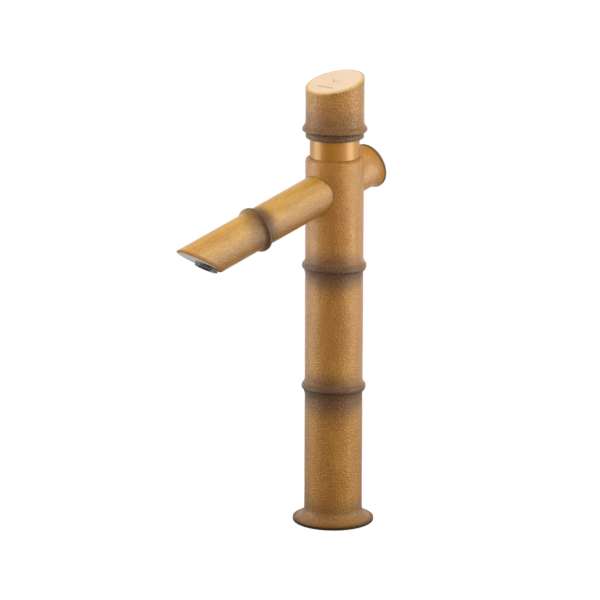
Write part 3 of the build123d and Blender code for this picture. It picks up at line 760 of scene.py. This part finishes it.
turned = np.linspace(0, 2 * np.pi * turns, wire_rows)[:, None]
climb = spring_top - spring_low - 2 * wire_r
turn_stops = (0, end_turns, turns - end_turns, turns)
rise_stops = (0, end_rise, climb - end_rise, climb)
height = spring_low + wire_r + np.interp(turned / (2 * np.pi), turn_stops, rise_stops)
points = wire(turned, height)
index = np.arange(wire_rows * wire_sides).reshape(wire_rows, wire_sides)
beside = np.roll(index, -1, 1)
quads = np.stack([index[:-1], index[1:], beside[1:], beside[:-1]], -1).reshape(-1, 4).tolist()
wire_ends = [index[0].tolist(), index[-1][::-1].tolist()]
coil_mesh = bpy.data.meshes.new("spring_coil")
coil_mesh.from_pydata(points.reshape(-1, 3).tolist(), [], quads + wire_ends)
coil_mesh.polygons.foreach_set("use_smooth", np.arange(len(quads + wire_ends)) < len(quads))
spring_coil = put("spring_coil", coil_mesh)
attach(spring_coil, "tap_body")
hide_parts("return_spring")
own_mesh(spring_coil)

# %% [markdown]
# ## Shader maths
# A procedural paint is a good deal of arithmetic on coordinates and noise. Placing every Math node by hand
# hides the formula, so a small class stands for the number that a socket gives out, and Python's operators
# on it add the nodes. Every other node comes from one method: type, settings, then sockets.

# %% Numbers in a node tree
class Number:
    """What a socket gives out. Arithmetic on it adds Math nodes."""

    def __init__(self, nodes, socket):
        self.nodes = nodes
        self.socket = socket

    def math(self, operation, first, second=0.0):
        return self.nodes.node("ShaderNodeMath", {"operation": operation}, {0: first, 1: second})

    def __add__(self, other):
        return self.math("ADD", self, other)

    __radd__ = __add__

    def __sub__(self, other):
        return self.math("SUBTRACT", self, other)

    def __rsub__(self, other):
        return self.math("SUBTRACT", other, self)

    def __mul__(self, other):
        return self.math("MULTIPLY", self, other)

    __rmul__ = __mul__

    def __neg__(self):
        return self.math("MULTIPLY", self, -1.0)

    def __abs__(self):
        return self.math("ABSOLUTE", self)

    def cosine(self):
        return self.math("COSINE", self)

    def at_least(self, other):
        return self.math("MAXIMUM", self, other)

    def at_most(self, other):
        return self.math("MINIMUM", self, other)

    def angle_from(self, across):
        """Angle whose tangent is this number over the other."""
        return self.math("ARCTAN2", self, across)

    def rises(self, low, high):
        """0 below low, 1 above high and smooth between, or the reverse where low is above high."""
        settings = {"interpolation_type": "SMOOTHSTEP", "clamp": True}
        sockets = {"Value": self, "From Min": low, "From Max": high}
        return self.nodes.node("ShaderNodeMapRange", settings, sockets)


print("words of Number:", [name for name in vars(Number) if not name.startswith("_")])

# %% Every other node, from one method
class Nodes:
    """A node tree that starts empty and is filled by formulas."""

    def __init__(self, tree):
        self.tree = tree
        tree.nodes.clear()

    def node(self, kind, settings=None, sockets=None, output=0):
        """Add a node: its settings first, then the values or links of its sockets."""
        made = self.tree.nodes.new(kind)
        for key, value in (settings or {}).items():
            setattr(made, key, value)
        for key, value in (sockets or {}).items():
            if isinstance(value, Number):
                self.tree.links.new(value.socket, made.inputs[key])
            else:
                made.inputs[key].default_value = value
        return Number(self, made.outputs[output]) if made.outputs else None

    def vector(self, operation, first, second=(0, 0, 0)):
        """Vector Math node. A dot product and a length come out as a number."""
        output = "Value" if operation in ("DOT_PRODUCT", "LENGTH") else "Vector"
        return self.node("ShaderNodeVectorMath", {"operation": operation}, {0: first, 1: second}, output)

    def mix(self, factor, first, second):
        """Colour between two colours. A colour mix has sockets 0, 6 and 7: the factor, A and B."""
        sockets = {0: factor, 6: first, 7: second}
        return self.node("ShaderNodeMix", {"data_type": "RGBA"}, sockets, output=2)

    def here(self, turn=0.0, shift=(0, 0, 0)):
        """Object coordinates, turned about X and shifted, so that Z can run along a sloping piece."""
        sockets = {
            "Vector": self.node("ShaderNodeTexCoord", output="Object"),
            "Location": shift,
            "Rotation": (turn, 0, 0),
        }
        return self.node("ShaderNodeMapping", {}, sockets)

    def split(self, place):
        """The three coordinates of a place."""
        return [self.node("ShaderNodeSeparateXYZ", {}, {"Vector": place}, axis) for axis in range(3)]

    def noise(self, place, scale, detail, roughness):
        """Noise with that many waves per metre. It stays near 0.5, so rises() stretches its middle."""
        sockets = {"Vector": place, "Scale": scale, "Detail": detail, "Roughness": roughness}
        return self.node("ShaderNodeTexNoise", {}, sockets)

    def off_axis(self, place, origin, axis):
        """Distance from a line: the length of (place - origin) x axis."""
        cross = self.vector("CROSS_PRODUCT", self.vector("SUBTRACT", place, tuple(origin)), tuple(axis))
        return self.vector("LENGTH", cross)

    def behind(self, place, point, normal):
        """Depth behind a plane: -(place - point) . normal."""
        gone = self.vector("SUBTRACT", place, tuple(point))
        return -self.vector("DOT_PRODUCT", gone, tuple(normal))

    def ray(self, kind):
        """1 for rays of that kind, such as Camera or Glossy, and 0 for all others."""
        return self.node("ShaderNodeLightPath", output=f"Is {kind} Ray")

    def surface(self, colour, roughness, height, rise, **constants):
        """Principled surface with a relief: height runs from 0 to 1, and rise is its depth in metres."""
        normal = self.node("ShaderNodeBump", {}, {"Height": height, "Distance": rise, "Strength": 1.0})
        sockets = {"Base Color": colour, "Roughness": roughness, "Normal": normal}
        sockets.update({key.replace("_", " "): value for key, value in constants.items()})
        shaded = self.node("ShaderNodeBsdfPrincipled", {}, sockets)
        self.node("ShaderNodeOutputMaterial", {}, {"Surface": shaded})


def new_material(name):
    """Empty material and its nodes."""
    material = bpy.data.materials.new(name)
    material.use_nodes = True
    return material, Nodes(material.node_tree)


print("patterns and surfaces:", [name for name in vars(Nodes) if not name.startswith("__")])

# %% [markdown]
# ## Bamboo paint
# The castings are sprayed in ochre over a fine sandy grain, and then shaded by hand with a brown that
# imitates scorched nodes. It is darkest on and under the scar, reaches up over the crest, and fades
# raggedly to both sides. Part of that brown is painted shade: it is darkest under the scar, where the node
# faces down, it reaches furthest at the front, and in the crease under the scar it turns into a thin band
# of painted shade. Long golden strokes run down the stem; they are a painted sheen, lightest at about 45
# and 135 degrees on either side of the front. The top coat is satin and thin on the grain's low spots, so
# the grains glint like gold dust. That takes two reflections: a pale gold one of the paint itself, and a
# neutral coat over it whose weight follows the grain. Each stem could be painted as a picture, but a recipe
# of formulas has no seams and stays sharp. One serves the column, the cap, the spout and the stub, each
# with Z along its own stem. The scar's height comes from the same formula as in the mesh, so that the
# painted shade of the crease sits in it.

# %% Colours of the bamboo paint
ochre = (0.385, 0.142, 0.016, 1)
# The next colour is a painted sheen, laid on by the golden strokes at the sides of each stem.
sheen_gold_ochre = (0.475, 0.210, 0.028, 1)
pale_ochre = (0.51, 0.235, 0.034, 1)
deep_ochre = (0.31, 0.100, 0.013, 1)
# The next colours paint light and sheen on the branches: yellow and orange on top, straw and tan in the
# middle.
lit_yellow_ochre = (0.60, 0.310, 0.042, 1)
sheen_straw = (0.555, 0.325, 0.096, 1)
tan = (0.43, 0.222, 0.068, 1)
lit_orange_ochre = (0.64, 0.295, 0.042, 1)
shaded_ochre = (0.29, 0.126, 0.018, 1)
warm_ochre = (0.50, 0.200, 0.020, 1)
scorched = (0.096, 0.035, 0.015, 1)
# Dark brown of the specks, and also the painted shade in the creases under the scars.
dirt_and_crease_shade = (0.035, 0.018, 0.010, 1)
foot_edge_brown = (0.028, 0.011, 0.008, 1)
# The next colour is a painted highlight for the cap's rounded top edge.
edge_highlight = (0.62, 0.405, 0.135, 1)
burnt_edge = (0.35, 0.130, 0.010, 1)
brown_edge = (0.10, 0.035, 0.005, 1)
pale_gold = (1.0, 0.86, 0.52, 1)
print("a scorched node keeps", round(sum(scorched[:3]) / sum(ochre[:3]), 2), "of the ochre's light")

# %% Scorch and painted shade round the nodes
ragged_reach = 4.0 * mm


def scorch(along, turned, ragged, nodes_at, darkened_end):
    """Share of brown scorch and painted shade round the nodes, and of painted shade in the creases.

    The brown round each node is scorch paint and partly painted shade: it reaches furthest at the front,
    where swing is 1. The nodes and the darker end are given as in bamboo_paint.
    """
    scorch_and_shade = crease = ragged * 0.0
    swing = (turned + 0.1).cosine()
    for crest, drop, above, below, share_above, crease_depth in nodes_at:
        over_scar = along - crest - scar_line(turned, drop, Number.cosine)
        frayed = over_scar + ragged * ragged_reach
        reach = (swing * 0.6 + 0.4).at_least(0.4) * -below
        under = frayed.rises(reach, reach * 0.15) * (swing * 0.08 + 0.86)
        over = frayed.rises((swing * 0.5 + 0.6) * above, 0.0) * (swing * 0.14 + share_above)
        scorch_and_shade = over + over_scar.rises(0.6 * mm, -0.3 * mm) * (under - over) + scorch_and_shade
        crease = over_scar.rises(-crease_depth, -0.25 * mm) * over_scar.rises(0.30 * mm, 0.0) + crease
    # The end of a stem is painted darker over the given stretch.
    if darkened_end:
        start, end, share = darkened_end
        scorch_and_shade = (along + ragged * (1.2 * mm)).rises(start, end) * share + scorch_and_shade
    return scorch_and_shade.at_most(1.0), crease


print("smoke frays by up to", round(ragged_reach / 2 / mm, 1), "mm either way")

# %% Recipe for painted bamboo
cloud_scale, streak_scale, ragged_scale = 60, 240, 170
speck_scale, speck_field_scale = 210.0, 110
seam_reach, seam_share = 0.9 * mm, 0.15
coat_roughness = 0.36


def bamboo_paint(
    name, nodes_at, seams=(), rims=(), darkened_end=None, bands=(), turn=0.0, shift=(0, 0, 0), front=0.0,
    gold=1.0, grit=0.20, rise=0.85 * mm, pebble_scale=1300,
):
    """Ochre paint with sandy grain, specks, scorched nodes, painted sheen and shade, dark seams and painted
    rims.

    nodes_at lists the nodes along the stem: (crest, drop of the scar, reach above, reach below, share
    above, depth of the crease). seams lists what the piece meets: (origin, axis, radius). rims lists
    edges, each painted within its reach behind a plane: (point, normal, colour, reach, share).
    darkened_end is (start, end, share) along the stem: no shade at the start, that share at the end.
    bands lists (low, high, colour): from low to high above a branch's axis, in spout radii, the paint turns
    to that colour, which paints light and shade across the branch. turn and shift put the stem on Z, and
    front is the angle of its front.
    gold and grit are the shares of the golden painted sheen and of the grain's shade. rise is the depth of
    its relief, and pebble_scale its waves per metre.
    """
    material, paint = new_material(name)
    place = paint.here()
    here = paint.here(turn, shift)
    x, y, along = paint.split(here)
    turned = y.angle_from(x) - front

    # Patterns that the whole paint draws on.
    squeezed = paint.vector("MULTIPLY", here, (1, 1, 0.8))
    drawn_out = paint.vector("MULTIPLY", here, (1, 1, 0.12))
    pebbles = paint.noise(squeezed, pebble_scale, 1, 0.5)
    sand = paint.noise(here, 1.5 * pebble_scale, 1, 0.5)
    grains = pebbles.rises(0.36, 0.64)
    streaks = paint.noise(drawn_out, streak_scale, 4, 0.6).rises(0.34, 0.70)
    clouds = paint.noise(here, cloud_scale, 3, 0.5).rises(0.36, 0.66)
    ragged = paint.noise(here, ragged_scale, 4, 0.65) - 0.5

    # Ochre with golden strokes that paint in a sheen, a branch's bands of painted light and shade, pale
    # clouds and deep streaks.
    sheen_strokes = 0.5 - (4 * turned + clouds * 1.5 - 0.4).cosine() * 0.5
    colour = paint.mix(sheen_strokes * gold, ochre, sheen_gold_ochre)
    for low, high, band_colour in bands:
        lifted = -paint.behind(place, branch_origin, spout_up)
        colour = paint.mix(lifted.rises(low * spout_r, high * spout_r), colour, band_colour)
    colour = paint.mix(clouds * 0.35, colour, pale_ochre)
    colour = paint.mix(streaks * 0.35, colour, deep_ochre)

    # Scorch and painted shade round the nodes, painted shade in the creases, and seams that darken a
    # little.
    scorch_and_shade, crease = scorch(along, turned, ragged, nodes_at, darkened_end)
    colour = paint.mix(scorch_and_shade, colour, scorched)
    colour = paint.mix(crease * 0.75, colour, dirt_and_crease_shade)
    for origin, axis, radius in seams:
        gap = abs(paint.off_axis(place, origin, axis) - radius) + ragged * (1.2 * mm)
        colour = paint.mix(gap.rises(seam_reach, 0.0) * seam_share, colour, scorched)

    # Rims get a colour of their own; the cap's bright rim is a painted highlight. The last rim is used
    # below.
    edge = 0.0
    for point, normal, rim_colour, reach, share in rims:
        depth = paint.behind(place, point, normal) + ragged * (0.3 * mm)
        edge = depth.rises(reach, 0.6 * reach) * share
        colour = paint.mix(edge, colour, rim_colour)

    # Specks are dark dots that come in fields. The grain's shade lies over everything.
    cells = paint.node("ShaderNodeTexVoronoi", {"feature": "F1"}, {"Vector": here, "Scale": speck_scale})
    field = paint.noise(here, speck_field_scale, 1, 0.5).rises(0.58, 0.66)
    specks = cells.rises(0.10, 0.05) * field
    colour = paint.mix(specks * 0.75, colour, dirt_and_crease_shade)
    shade = grains * grit + (1.0 - 0.5 * grit)
    grey_shade = paint.node("ShaderNodeCombineXYZ", {}, {0: shade, 1: shade, 2: shade})
    colour = paint.vector("MULTIPLY", colour, grey_shade)

    # Within the last rim the paint is smooth and matt: no coat and no relief there.
    roughness = 0.40 + (sand - 0.5) * 0.2 + scorch_and_shade * 0.15 + edge * 0.4
    relief = (pebbles * 0.8 + sand * 0.2 - specks * 0.3 - 0.5) * (1.0 - edge) + 0.5
    coat = (0.6 - scorch_and_shade * 0.25) * (grains * (4 * grit) + (1.0 - 2 * grit)) * (1.0 - edge)
    paint.surface(
        colour, roughness, relief, rise, Metallic=0.1 - scorch_and_shade * 0.1, Specular_IOR_Level=1.0,
        Specular_Tint=pale_gold, Coat_Weight=coat, Coat_Roughness=coat_roughness,
    )
    print(name, "has", len(material.node_tree.nodes), "nodes")
    return material


# %% [markdown]
# ### Column and cap
# Both stand upright, so their own Z is already the stem's. The column is scorched at its nodes and painted
# darker towards the foot, whose lowest edge is almost black. The cap is sandier, with less of the golden
# sheen, and its rounded top edge carries a painted highlight, a thin bright line.

# %% Paint for the column and the cap
spout_seam = (branch_origin, spout_axis, spout_r)
stub_seam = (branch_origin, stub_axis, spout_r)
cap_normal = (0, -math.sin(cap_slant), math.cos(cap_slant))

column_paint = bamboo_paint(
    "bamboo_column",
    [
        (lower_node_z, column_scar, 15 * mm, 24 * mm, 0.90, 1.2 * mm),
        (upper_node_z, column_scar, 15 * mm, 19 * mm, 0.90, 1.2 * mm),
    ],
    seams=[spout_seam, stub_seam],
    # The column is painted darker towards the foot.
    darkened_end=(20 * mm, 10 * mm, 0.48),
    rims=[((0, 0, 0), (0, 0, -1), foot_edge_brown, 3.3 * mm, 0.95)],
    front=front_angle,
)
cap_paint = bamboo_paint(
    "bamboo_cap",
    [(cap_node_z, cap_scar, 20 * mm, 24 * mm, 0.62, 2.6 * mm)],
    # The bright rim is a painted highlight on the cap's rounded top edge.
    rims=[((0, 0, cap_axis_z), cap_normal, edge_highlight, 1.1 * mm, 0.85)],
    front=front_angle,
    gold=0.6,
    grit=0.22,
    rise=1.4 * mm,
    pebble_scale=1150,
)

# %% [markdown]
# ### Spout and stub
# The branches carry bands of painted light and shade. On the spout yellow lies on top and a pale straw
# below it, over a shaded ochre, with a warm ochre underneath; on the stub orange lies on top, tan along the
# middle and a warm ochre underneath. The yellow and the orange are painted light from above, the straw and
# the tan a painted sheen. Both branches are burnt where they were cut off. These bands follow the height
# above the branch's axis. The grain runs along the branch, so its coordinates are turned until the branch
# lies on Z.

# %% Paint for the spout and the stub
def stem_turn(axis):
    """Angle about X that turns a stem's axis onto Z."""
    return math.atan2(axis[1], axis[2])


def stem_shift(turn):
    """Shift after that turn that puts the branches' origin at zero."""
    return (0, spout_z * math.sin(turn), -spout_z * math.cos(turn))


column_seam = ((0, 0, 0), (0, 0, 1), column_r)
spout_end = branch_origin + spout_axis * spout_length
stub_end = branch_origin + stub_axis * stub_length
spout_turn = stem_turn(spout_axis)
stub_turn = stem_turn(stub_axis)

spout_paint = bamboo_paint(
    "bamboo_spout",
    [(spout_node_at, spout_scar, 17 * mm, 11 * mm, 0.86, 1.2 * mm)],
    seams=[column_seam],
    # Yellow on top is painted light, straw a painted sheen, and the shaded ochre painted shade.
    bands=[
        (-2.0, -1.5, shaded_ochre),
        (-0.45, -0.8, warm_ochre),
        (0.0, 0.62, sheen_straw),
        (0.7, 0.95, lit_yellow_ochre),
    ],
    rims=[(spout_end, saw_out, burnt_edge, 2.3 * mm, 0.8)],
    turn=spout_turn,
    shift=stem_shift(spout_turn),
    front=spout_front,
    gold=0.7,
    grit=0.12,
    rise=0.72 * mm,
)
stub_paint = bamboo_paint(
    "bamboo_stub",
    [],
    seams=[column_seam],
    # Orange on top is painted light, and tan along the middle a painted sheen.
    bands=[(-0.7, 0.2, tan), (-0.2, -0.7, warm_ochre), (0.4, 1.0, lit_orange_ochre)],
    rims=[
        (stub_end, stub_axis, warm_ochre, 7.0 * mm, 0.6),
        (stub_end, stub_axis, brown_edge, 3.0 * mm, 0.9),
    ],
    turn=stub_turn,
    shift=stem_shift(stub_turn),
    gold=0.7,
    grit=0.10,
    rise=0.6 * mm,
)
for piece, material in (
    (column_skin, column_paint),
    (cap_skin, cap_paint),
    (spout_skin, spout_paint),
    (stub_skin, stub_paint),
):
    piece.data.materials.append(material)

# %% [markdown]
# ## Cream faces
# The sawn faces of the cap, the spout and the stub are pale cream, smooth and satin, like the inside of a
# cut stem. The spout's is the palest, nearly white. A little cloudiness keeps them from looking like
# plastic. The cap's face carries a small plain mark that says press here: an arrow head over a bar, in a
# darker cream. It could be a picture or raised text, but a few distances draw it just as well.

# %% Cream paint
cream = (0.65, 0.485, 0.335, 1)
warm_cream = (0.60, 0.42, 0.26, 1)
pale_cream = (0.84, 0.79, 0.72, 1)
mark_brown = (0.46, 0.26, 0.11, 1)
mark_half, mark_thick, mark_soft = 3.2 * mm, 0.55 * mm, 0.2 * mm
head_slope, head_drop, bar_drop = 0.7, 0.6 * mm, 8.0 * mm
mark_share = 0.8


def press_mark(paint, here):
    """1 on the mark and 0 beside it.

    The head is where y is near 0.7 |x| less its drop, and the bar where y is near its own drop. Both end
    at a given |x|, the bar at twice the head's.
    """
    x, y, _ = paint.split(here)
    thin, thick = mark_thick, mark_thick + mark_soft
    head = abs(y - abs(x) * head_slope + head_drop).rises(thick, thin)
    head = head * abs(x).rises(mark_half + mark_soft, mark_half)
    bar = abs(y + bar_drop).rises(thick, thin) * abs(x).rises(2 * mark_half + mark_soft, 2 * mark_half)
    return (head + bar).at_most(1.0)


def cream_paint(name, colour, cloud_colour, marked=False):
    """Pale satin paint with faint clouds. marked adds the press mark."""
    material, paint = new_material(name)
    here = paint.here()
    clouds = paint.noise(here, 110, 4, 0.6).rises(0.35, 0.75)
    grain = paint.noise(here, 1300, 2, 0.5)
    colour = paint.mix(clouds * 0.45, colour, cloud_colour)
    if marked:
        colour = paint.mix(press_mark(paint, here) * mark_share, colour, mark_brown)
    paint.surface(colour, 0.42 + (grain - 0.5) * 0.2, grain, 0.03 * mm, Specular_IOR_Level=0.45)
    return material


def dress(node, material):
    """Give a carried-over piece its material."""
    for place in frame["nodes"][node].material_slots:
        place.material = material


dress("cap_face", cream_paint("cream_cap", cream, warm_cream, marked=True))
dress("stub_face", cream_paint("cream_stub", cream, warm_cream))
dress("spout_face", cream_paint("cream_spout", pale_cream, cream))
print("cream faces: cap_face with a press mark, spout_face and stub_face plain")

# %% [markdown]
# ## Metals, rubber and plastic
# The sleeve has a satin gold lacquer: a deep yellow underneath, and a reflection that is gold itself and
# shows the lamps as soft upright stripes. A plain metal would mirror the dim front too strongly. The ring
# at the outlet is dull plated. Inside and under the counter are turned brass, stainless steel, copper tube,
# black rubber and a white plastic insert. Turned metal shows fine rings about its axis: noise that changes
# fast along Z and hardly at all sideways gives them.

# %% Recipe for turned and satin metal
ring_squeeze = (0.02, 0.02, 1)


def metal_paint(
    name, colour, dark, roughness, ring_scale, relief, metallic=1.0, ring_share=0.16, **constants
):
    """Metal with fine turning rings along Z and faint clouds between its colour and a darker one."""
    material, paint = new_material(name)
    here = paint.here()
    rings = paint.noise(paint.vector("MULTIPLY", here, ring_squeeze), ring_scale, 3, 0.6)
    clouds = paint.noise(here, 90, 3, 0.5).rises(0.35, 0.7)
    base = paint.mix(clouds * 0.35, colour, dark)
    uneven = roughness + (rings - 0.5) * ring_share + clouds * 0.04
    paint.surface(base, uneven, rings, relief, Metallic=metallic, **constants)
    print(f"{name}: roughness {roughness}, rings {relief / mm:.4f} mm deep")
    return material


satin_gold = metal_paint(
    "satin_gold", (0.42, 0.158, 0.008, 1), (0.39, 0.143, 0.007, 1), 0.36, 2600, 0.0015 * mm,
    metallic=0.05, ring_share=0.04, IOR=1.8, Specular_IOR_Level=1.0, Specular_Tint=(1.0, 0.82, 0.50, 1),
)
brass = metal_paint("turned_brass", (0.80, 0.58, 0.25, 1), (0.62, 0.42, 0.16, 1), 0.30, 3000, 0.02 * mm)
steel = metal_paint("turned_steel", (0.62, 0.61, 0.60, 1), (0.48, 0.47, 0.46, 1), 0.28, 3000, 0.02 * mm)
copper = metal_paint("drawn_copper", (0.80, 0.42, 0.26, 1), (0.60, 0.28, 0.17, 1), 0.32, 900, 0.01 * mm)
plated = metal_paint("dull_chrome", (0.19, 0.18, 0.17, 1), (0.10, 0.095, 0.09, 1), 0.36, 1200, 0.02 * mm)

# %% Recipe for rubber and moulded plastic
def moulded_paint(name, colour, other, roughness, relief):
    """Matt moulded stuff: a fine skin with faint flow marks between two colours."""
    material, paint = new_material(name)
    here = paint.here()
    flow = paint.noise(here, 150, 3, 0.5).rises(0.35, 0.7)
    grain = paint.noise(here, 1800, 2, 0.5)
    colour = paint.mix(flow * 0.6, colour, other)
    paint.surface(colour, roughness + (grain - 0.5) * 0.2, grain, relief)
    return material


rubber = moulded_paint("black_rubber", (0.020, 0.020, 0.021, 1), (0.035, 0.034, 0.033, 1), 0.62, 0.03 * mm)
plastic = moulded_paint("white_plastic", (0.80, 0.80, 0.77, 1), (0.74, 0.74, 0.71, 1), 0.38, 0.01 * mm)

spring_coil.data.materials.append(steel)
tail_thread.data.materials.append(brass)
aerator_ring.data.materials.append(plated)
by_slot = {
    "gold_sleeve": satin_gold, "brass": brass, "steel": steel, "copper_tube": copper,
    "chrome": plated, "black_rubber": rubber, "white_plastic": plastic,
}
for part in frame["record"]["subparts"]:
    if part["material_slot"] in by_slot:
        dress(part["node"], by_slot[part["material_slot"]])
print("metals, rubber and plastic:", sorted(by_slot))

# %% [markdown]
# ## Studio
# The photograph shows a white studio. Four soft boxes light the tap: tall ones at the right and the left,
# one in front and one overhead. Only the two at the sides show in the paint's reflections. The front of the
# mirrored room is dark and its ceiling dim, which leaves a darker stripe down the middle of every round
# piece. To the camera the background is white, and that adds no light to the tap.

# %% Lamps
box_distance = 1.3
box_target = Vector((0, 0, 150 * mm))


def soft_box(name, turn_degrees, rise_degrees, width, height, radiance, mirrored=True):
    """Area lamp that looks at the tap. Turn is measured from the camera, to the right of it.

    A lamp of radiance L and area A needs the power pi * L * A.
    """
    lamp = bpy.data.lights.new(name, "AREA")
    lamp.shape = "RECTANGLE"
    lamp.size, lamp.size_y = width, height
    lamp.energy = math.pi * radiance * width * height
    turn, rise = math.radians(turn_degrees), math.radians(rise_degrees)
    ahead = Vector((math.sin(azimuth), -math.cos(azimuth), 0))
    level = ahead * math.cos(turn) + aim_right * math.sin(turn)
    way = level * math.cos(rise) + Vector((0, 0, math.sin(rise)))
    holder = put(name, lamp)
    holder.location = box_target + way * box_distance
    holder.rotation_euler = (-way).to_track_quat("-Z", "Y").to_euler()
    holder.visible_camera = False
    holder.visible_glossy = mirrored
    print(f"{name}: {lamp.energy:.1f} W")


soft_box("right_box", 78, 0, 0.8, 1.7, 2.5)
soft_box("left_box", -90, 0, 0.9, 1.7, 2.1)
soft_box("front_box", 15, 25, 1.0, 1.0, 3.4, mirrored=False)
soft_box("top_box", 180, 74, 1.5, 1.5, 2.7, mirrored=False)

# %% White world
ambient = 0.25
dark_side = azimuth - math.radians(12)
dark_from, dark_to, dark_share = 0.2, 0.95, 0.93
dim_from, dim_to, dim_share = 0.2, 0.8, 0.7
mirrored_white = 0.95

world = bpy.data.worlds.new("white_studio")
bpy.context.scene.world = world
world.use_nodes = True
sky = Nodes(world.node_tree)
way = sky.node("ShaderNodeTexCoord", output="Generated")
ahead = (math.sin(dark_side), -math.cos(dark_side), 0)
facing = sky.vector("DOT_PRODUCT", way, ahead)
rise = sky.split(way)[2]
front_left = 1.0 - facing.rises(dark_from, dark_to) * dark_share
ceiling_left = 1.0 - rise.rises(dim_from, dim_to) * dim_share
room = front_left * ceiling_left * mirrored_white
seen, mirrored, through = sky.ray("Camera"), sky.ray("Glossy"), sky.ray("Transmission")
shown = (seen + through).at_most(1.0)
strength = ambient + mirrored * (room - ambient)
strength = shown + (1.0 - shown) * strength
background = sky.node("ShaderNodeBackground", {}, {"Color": (1, 1, 1, 1), "Strength": strength})
sky.node("ShaderNodeOutputWorld", {}, {"Surface": background})
print("world: white to the camera, and of strength", ambient, "as light")

# %% [markdown]
# ### Floor
# A round sheet of paper, a little larger than the tap, carries its shadow. To the camera it is nearly all
# white glow with a little matt grey, so that the shadow still shows. In reflections it is the glow alone,
# dark towards the front like the room, and brighter away from the tap.

# %% Pale floor
floor_r = 0.35
floor_corners = 96
paper_grey = (0.30, 0.30, 0.30, 1)
paper_glow, glow_share = 1.10, 0.90
near_foot, far_from_foot = 0.05, 0.5
near_white, more_white = 0.4, 0.5

floor_mesh = bpy.data.meshes.new("studio_floor")
angle = round_angles(floor_corners)[0]
corners = lathe(floor_r, angle, -hair)
floor_mesh.from_pydata(corners.tolist(), [], [tuple(range(floor_corners))])
floor = put("studio_floor", floor_mesh)
paper_material, paper = new_material("studio_paper")
place = paper.here()
seen, mirrored = paper.ray("Camera"), paper.ray("Glossy")
glow = paper.node("ShaderNodeEmission", {}, {"Color": (1, 1, 1, 1), "Strength": paper_glow})
outwards = paper.vector("NORMALIZE", place)
dark = paper.vector("DOT_PRODUCT", outwards, ahead).rises(dark_from, dark_to)
away = paper.vector("LENGTH", place).rises(near_foot, far_from_foot)
grey = paper.mix(mirrored, paper_grey, (0, 0, 0, 1))
matt = paper.node("ShaderNodeBsdfDiffuse", {}, {"Color": grey})
mirrored_glow = (1.0 - dark * dark_share) * (away * more_white + near_white)
white = (seen + mirrored * mirrored_glow).at_most(1.0) * glow_share
mixed = paper.node("ShaderNodeMixShader", {}, {0: white, 1: matt, 2: glow})
paper.node("ShaderNodeOutputMaterial", {}, {"Surface": mixed})
floor_mesh.materials.append(paper_material)
print("studio: four soft boxes, a white background and a pale floor of", floor_r, "m radius")
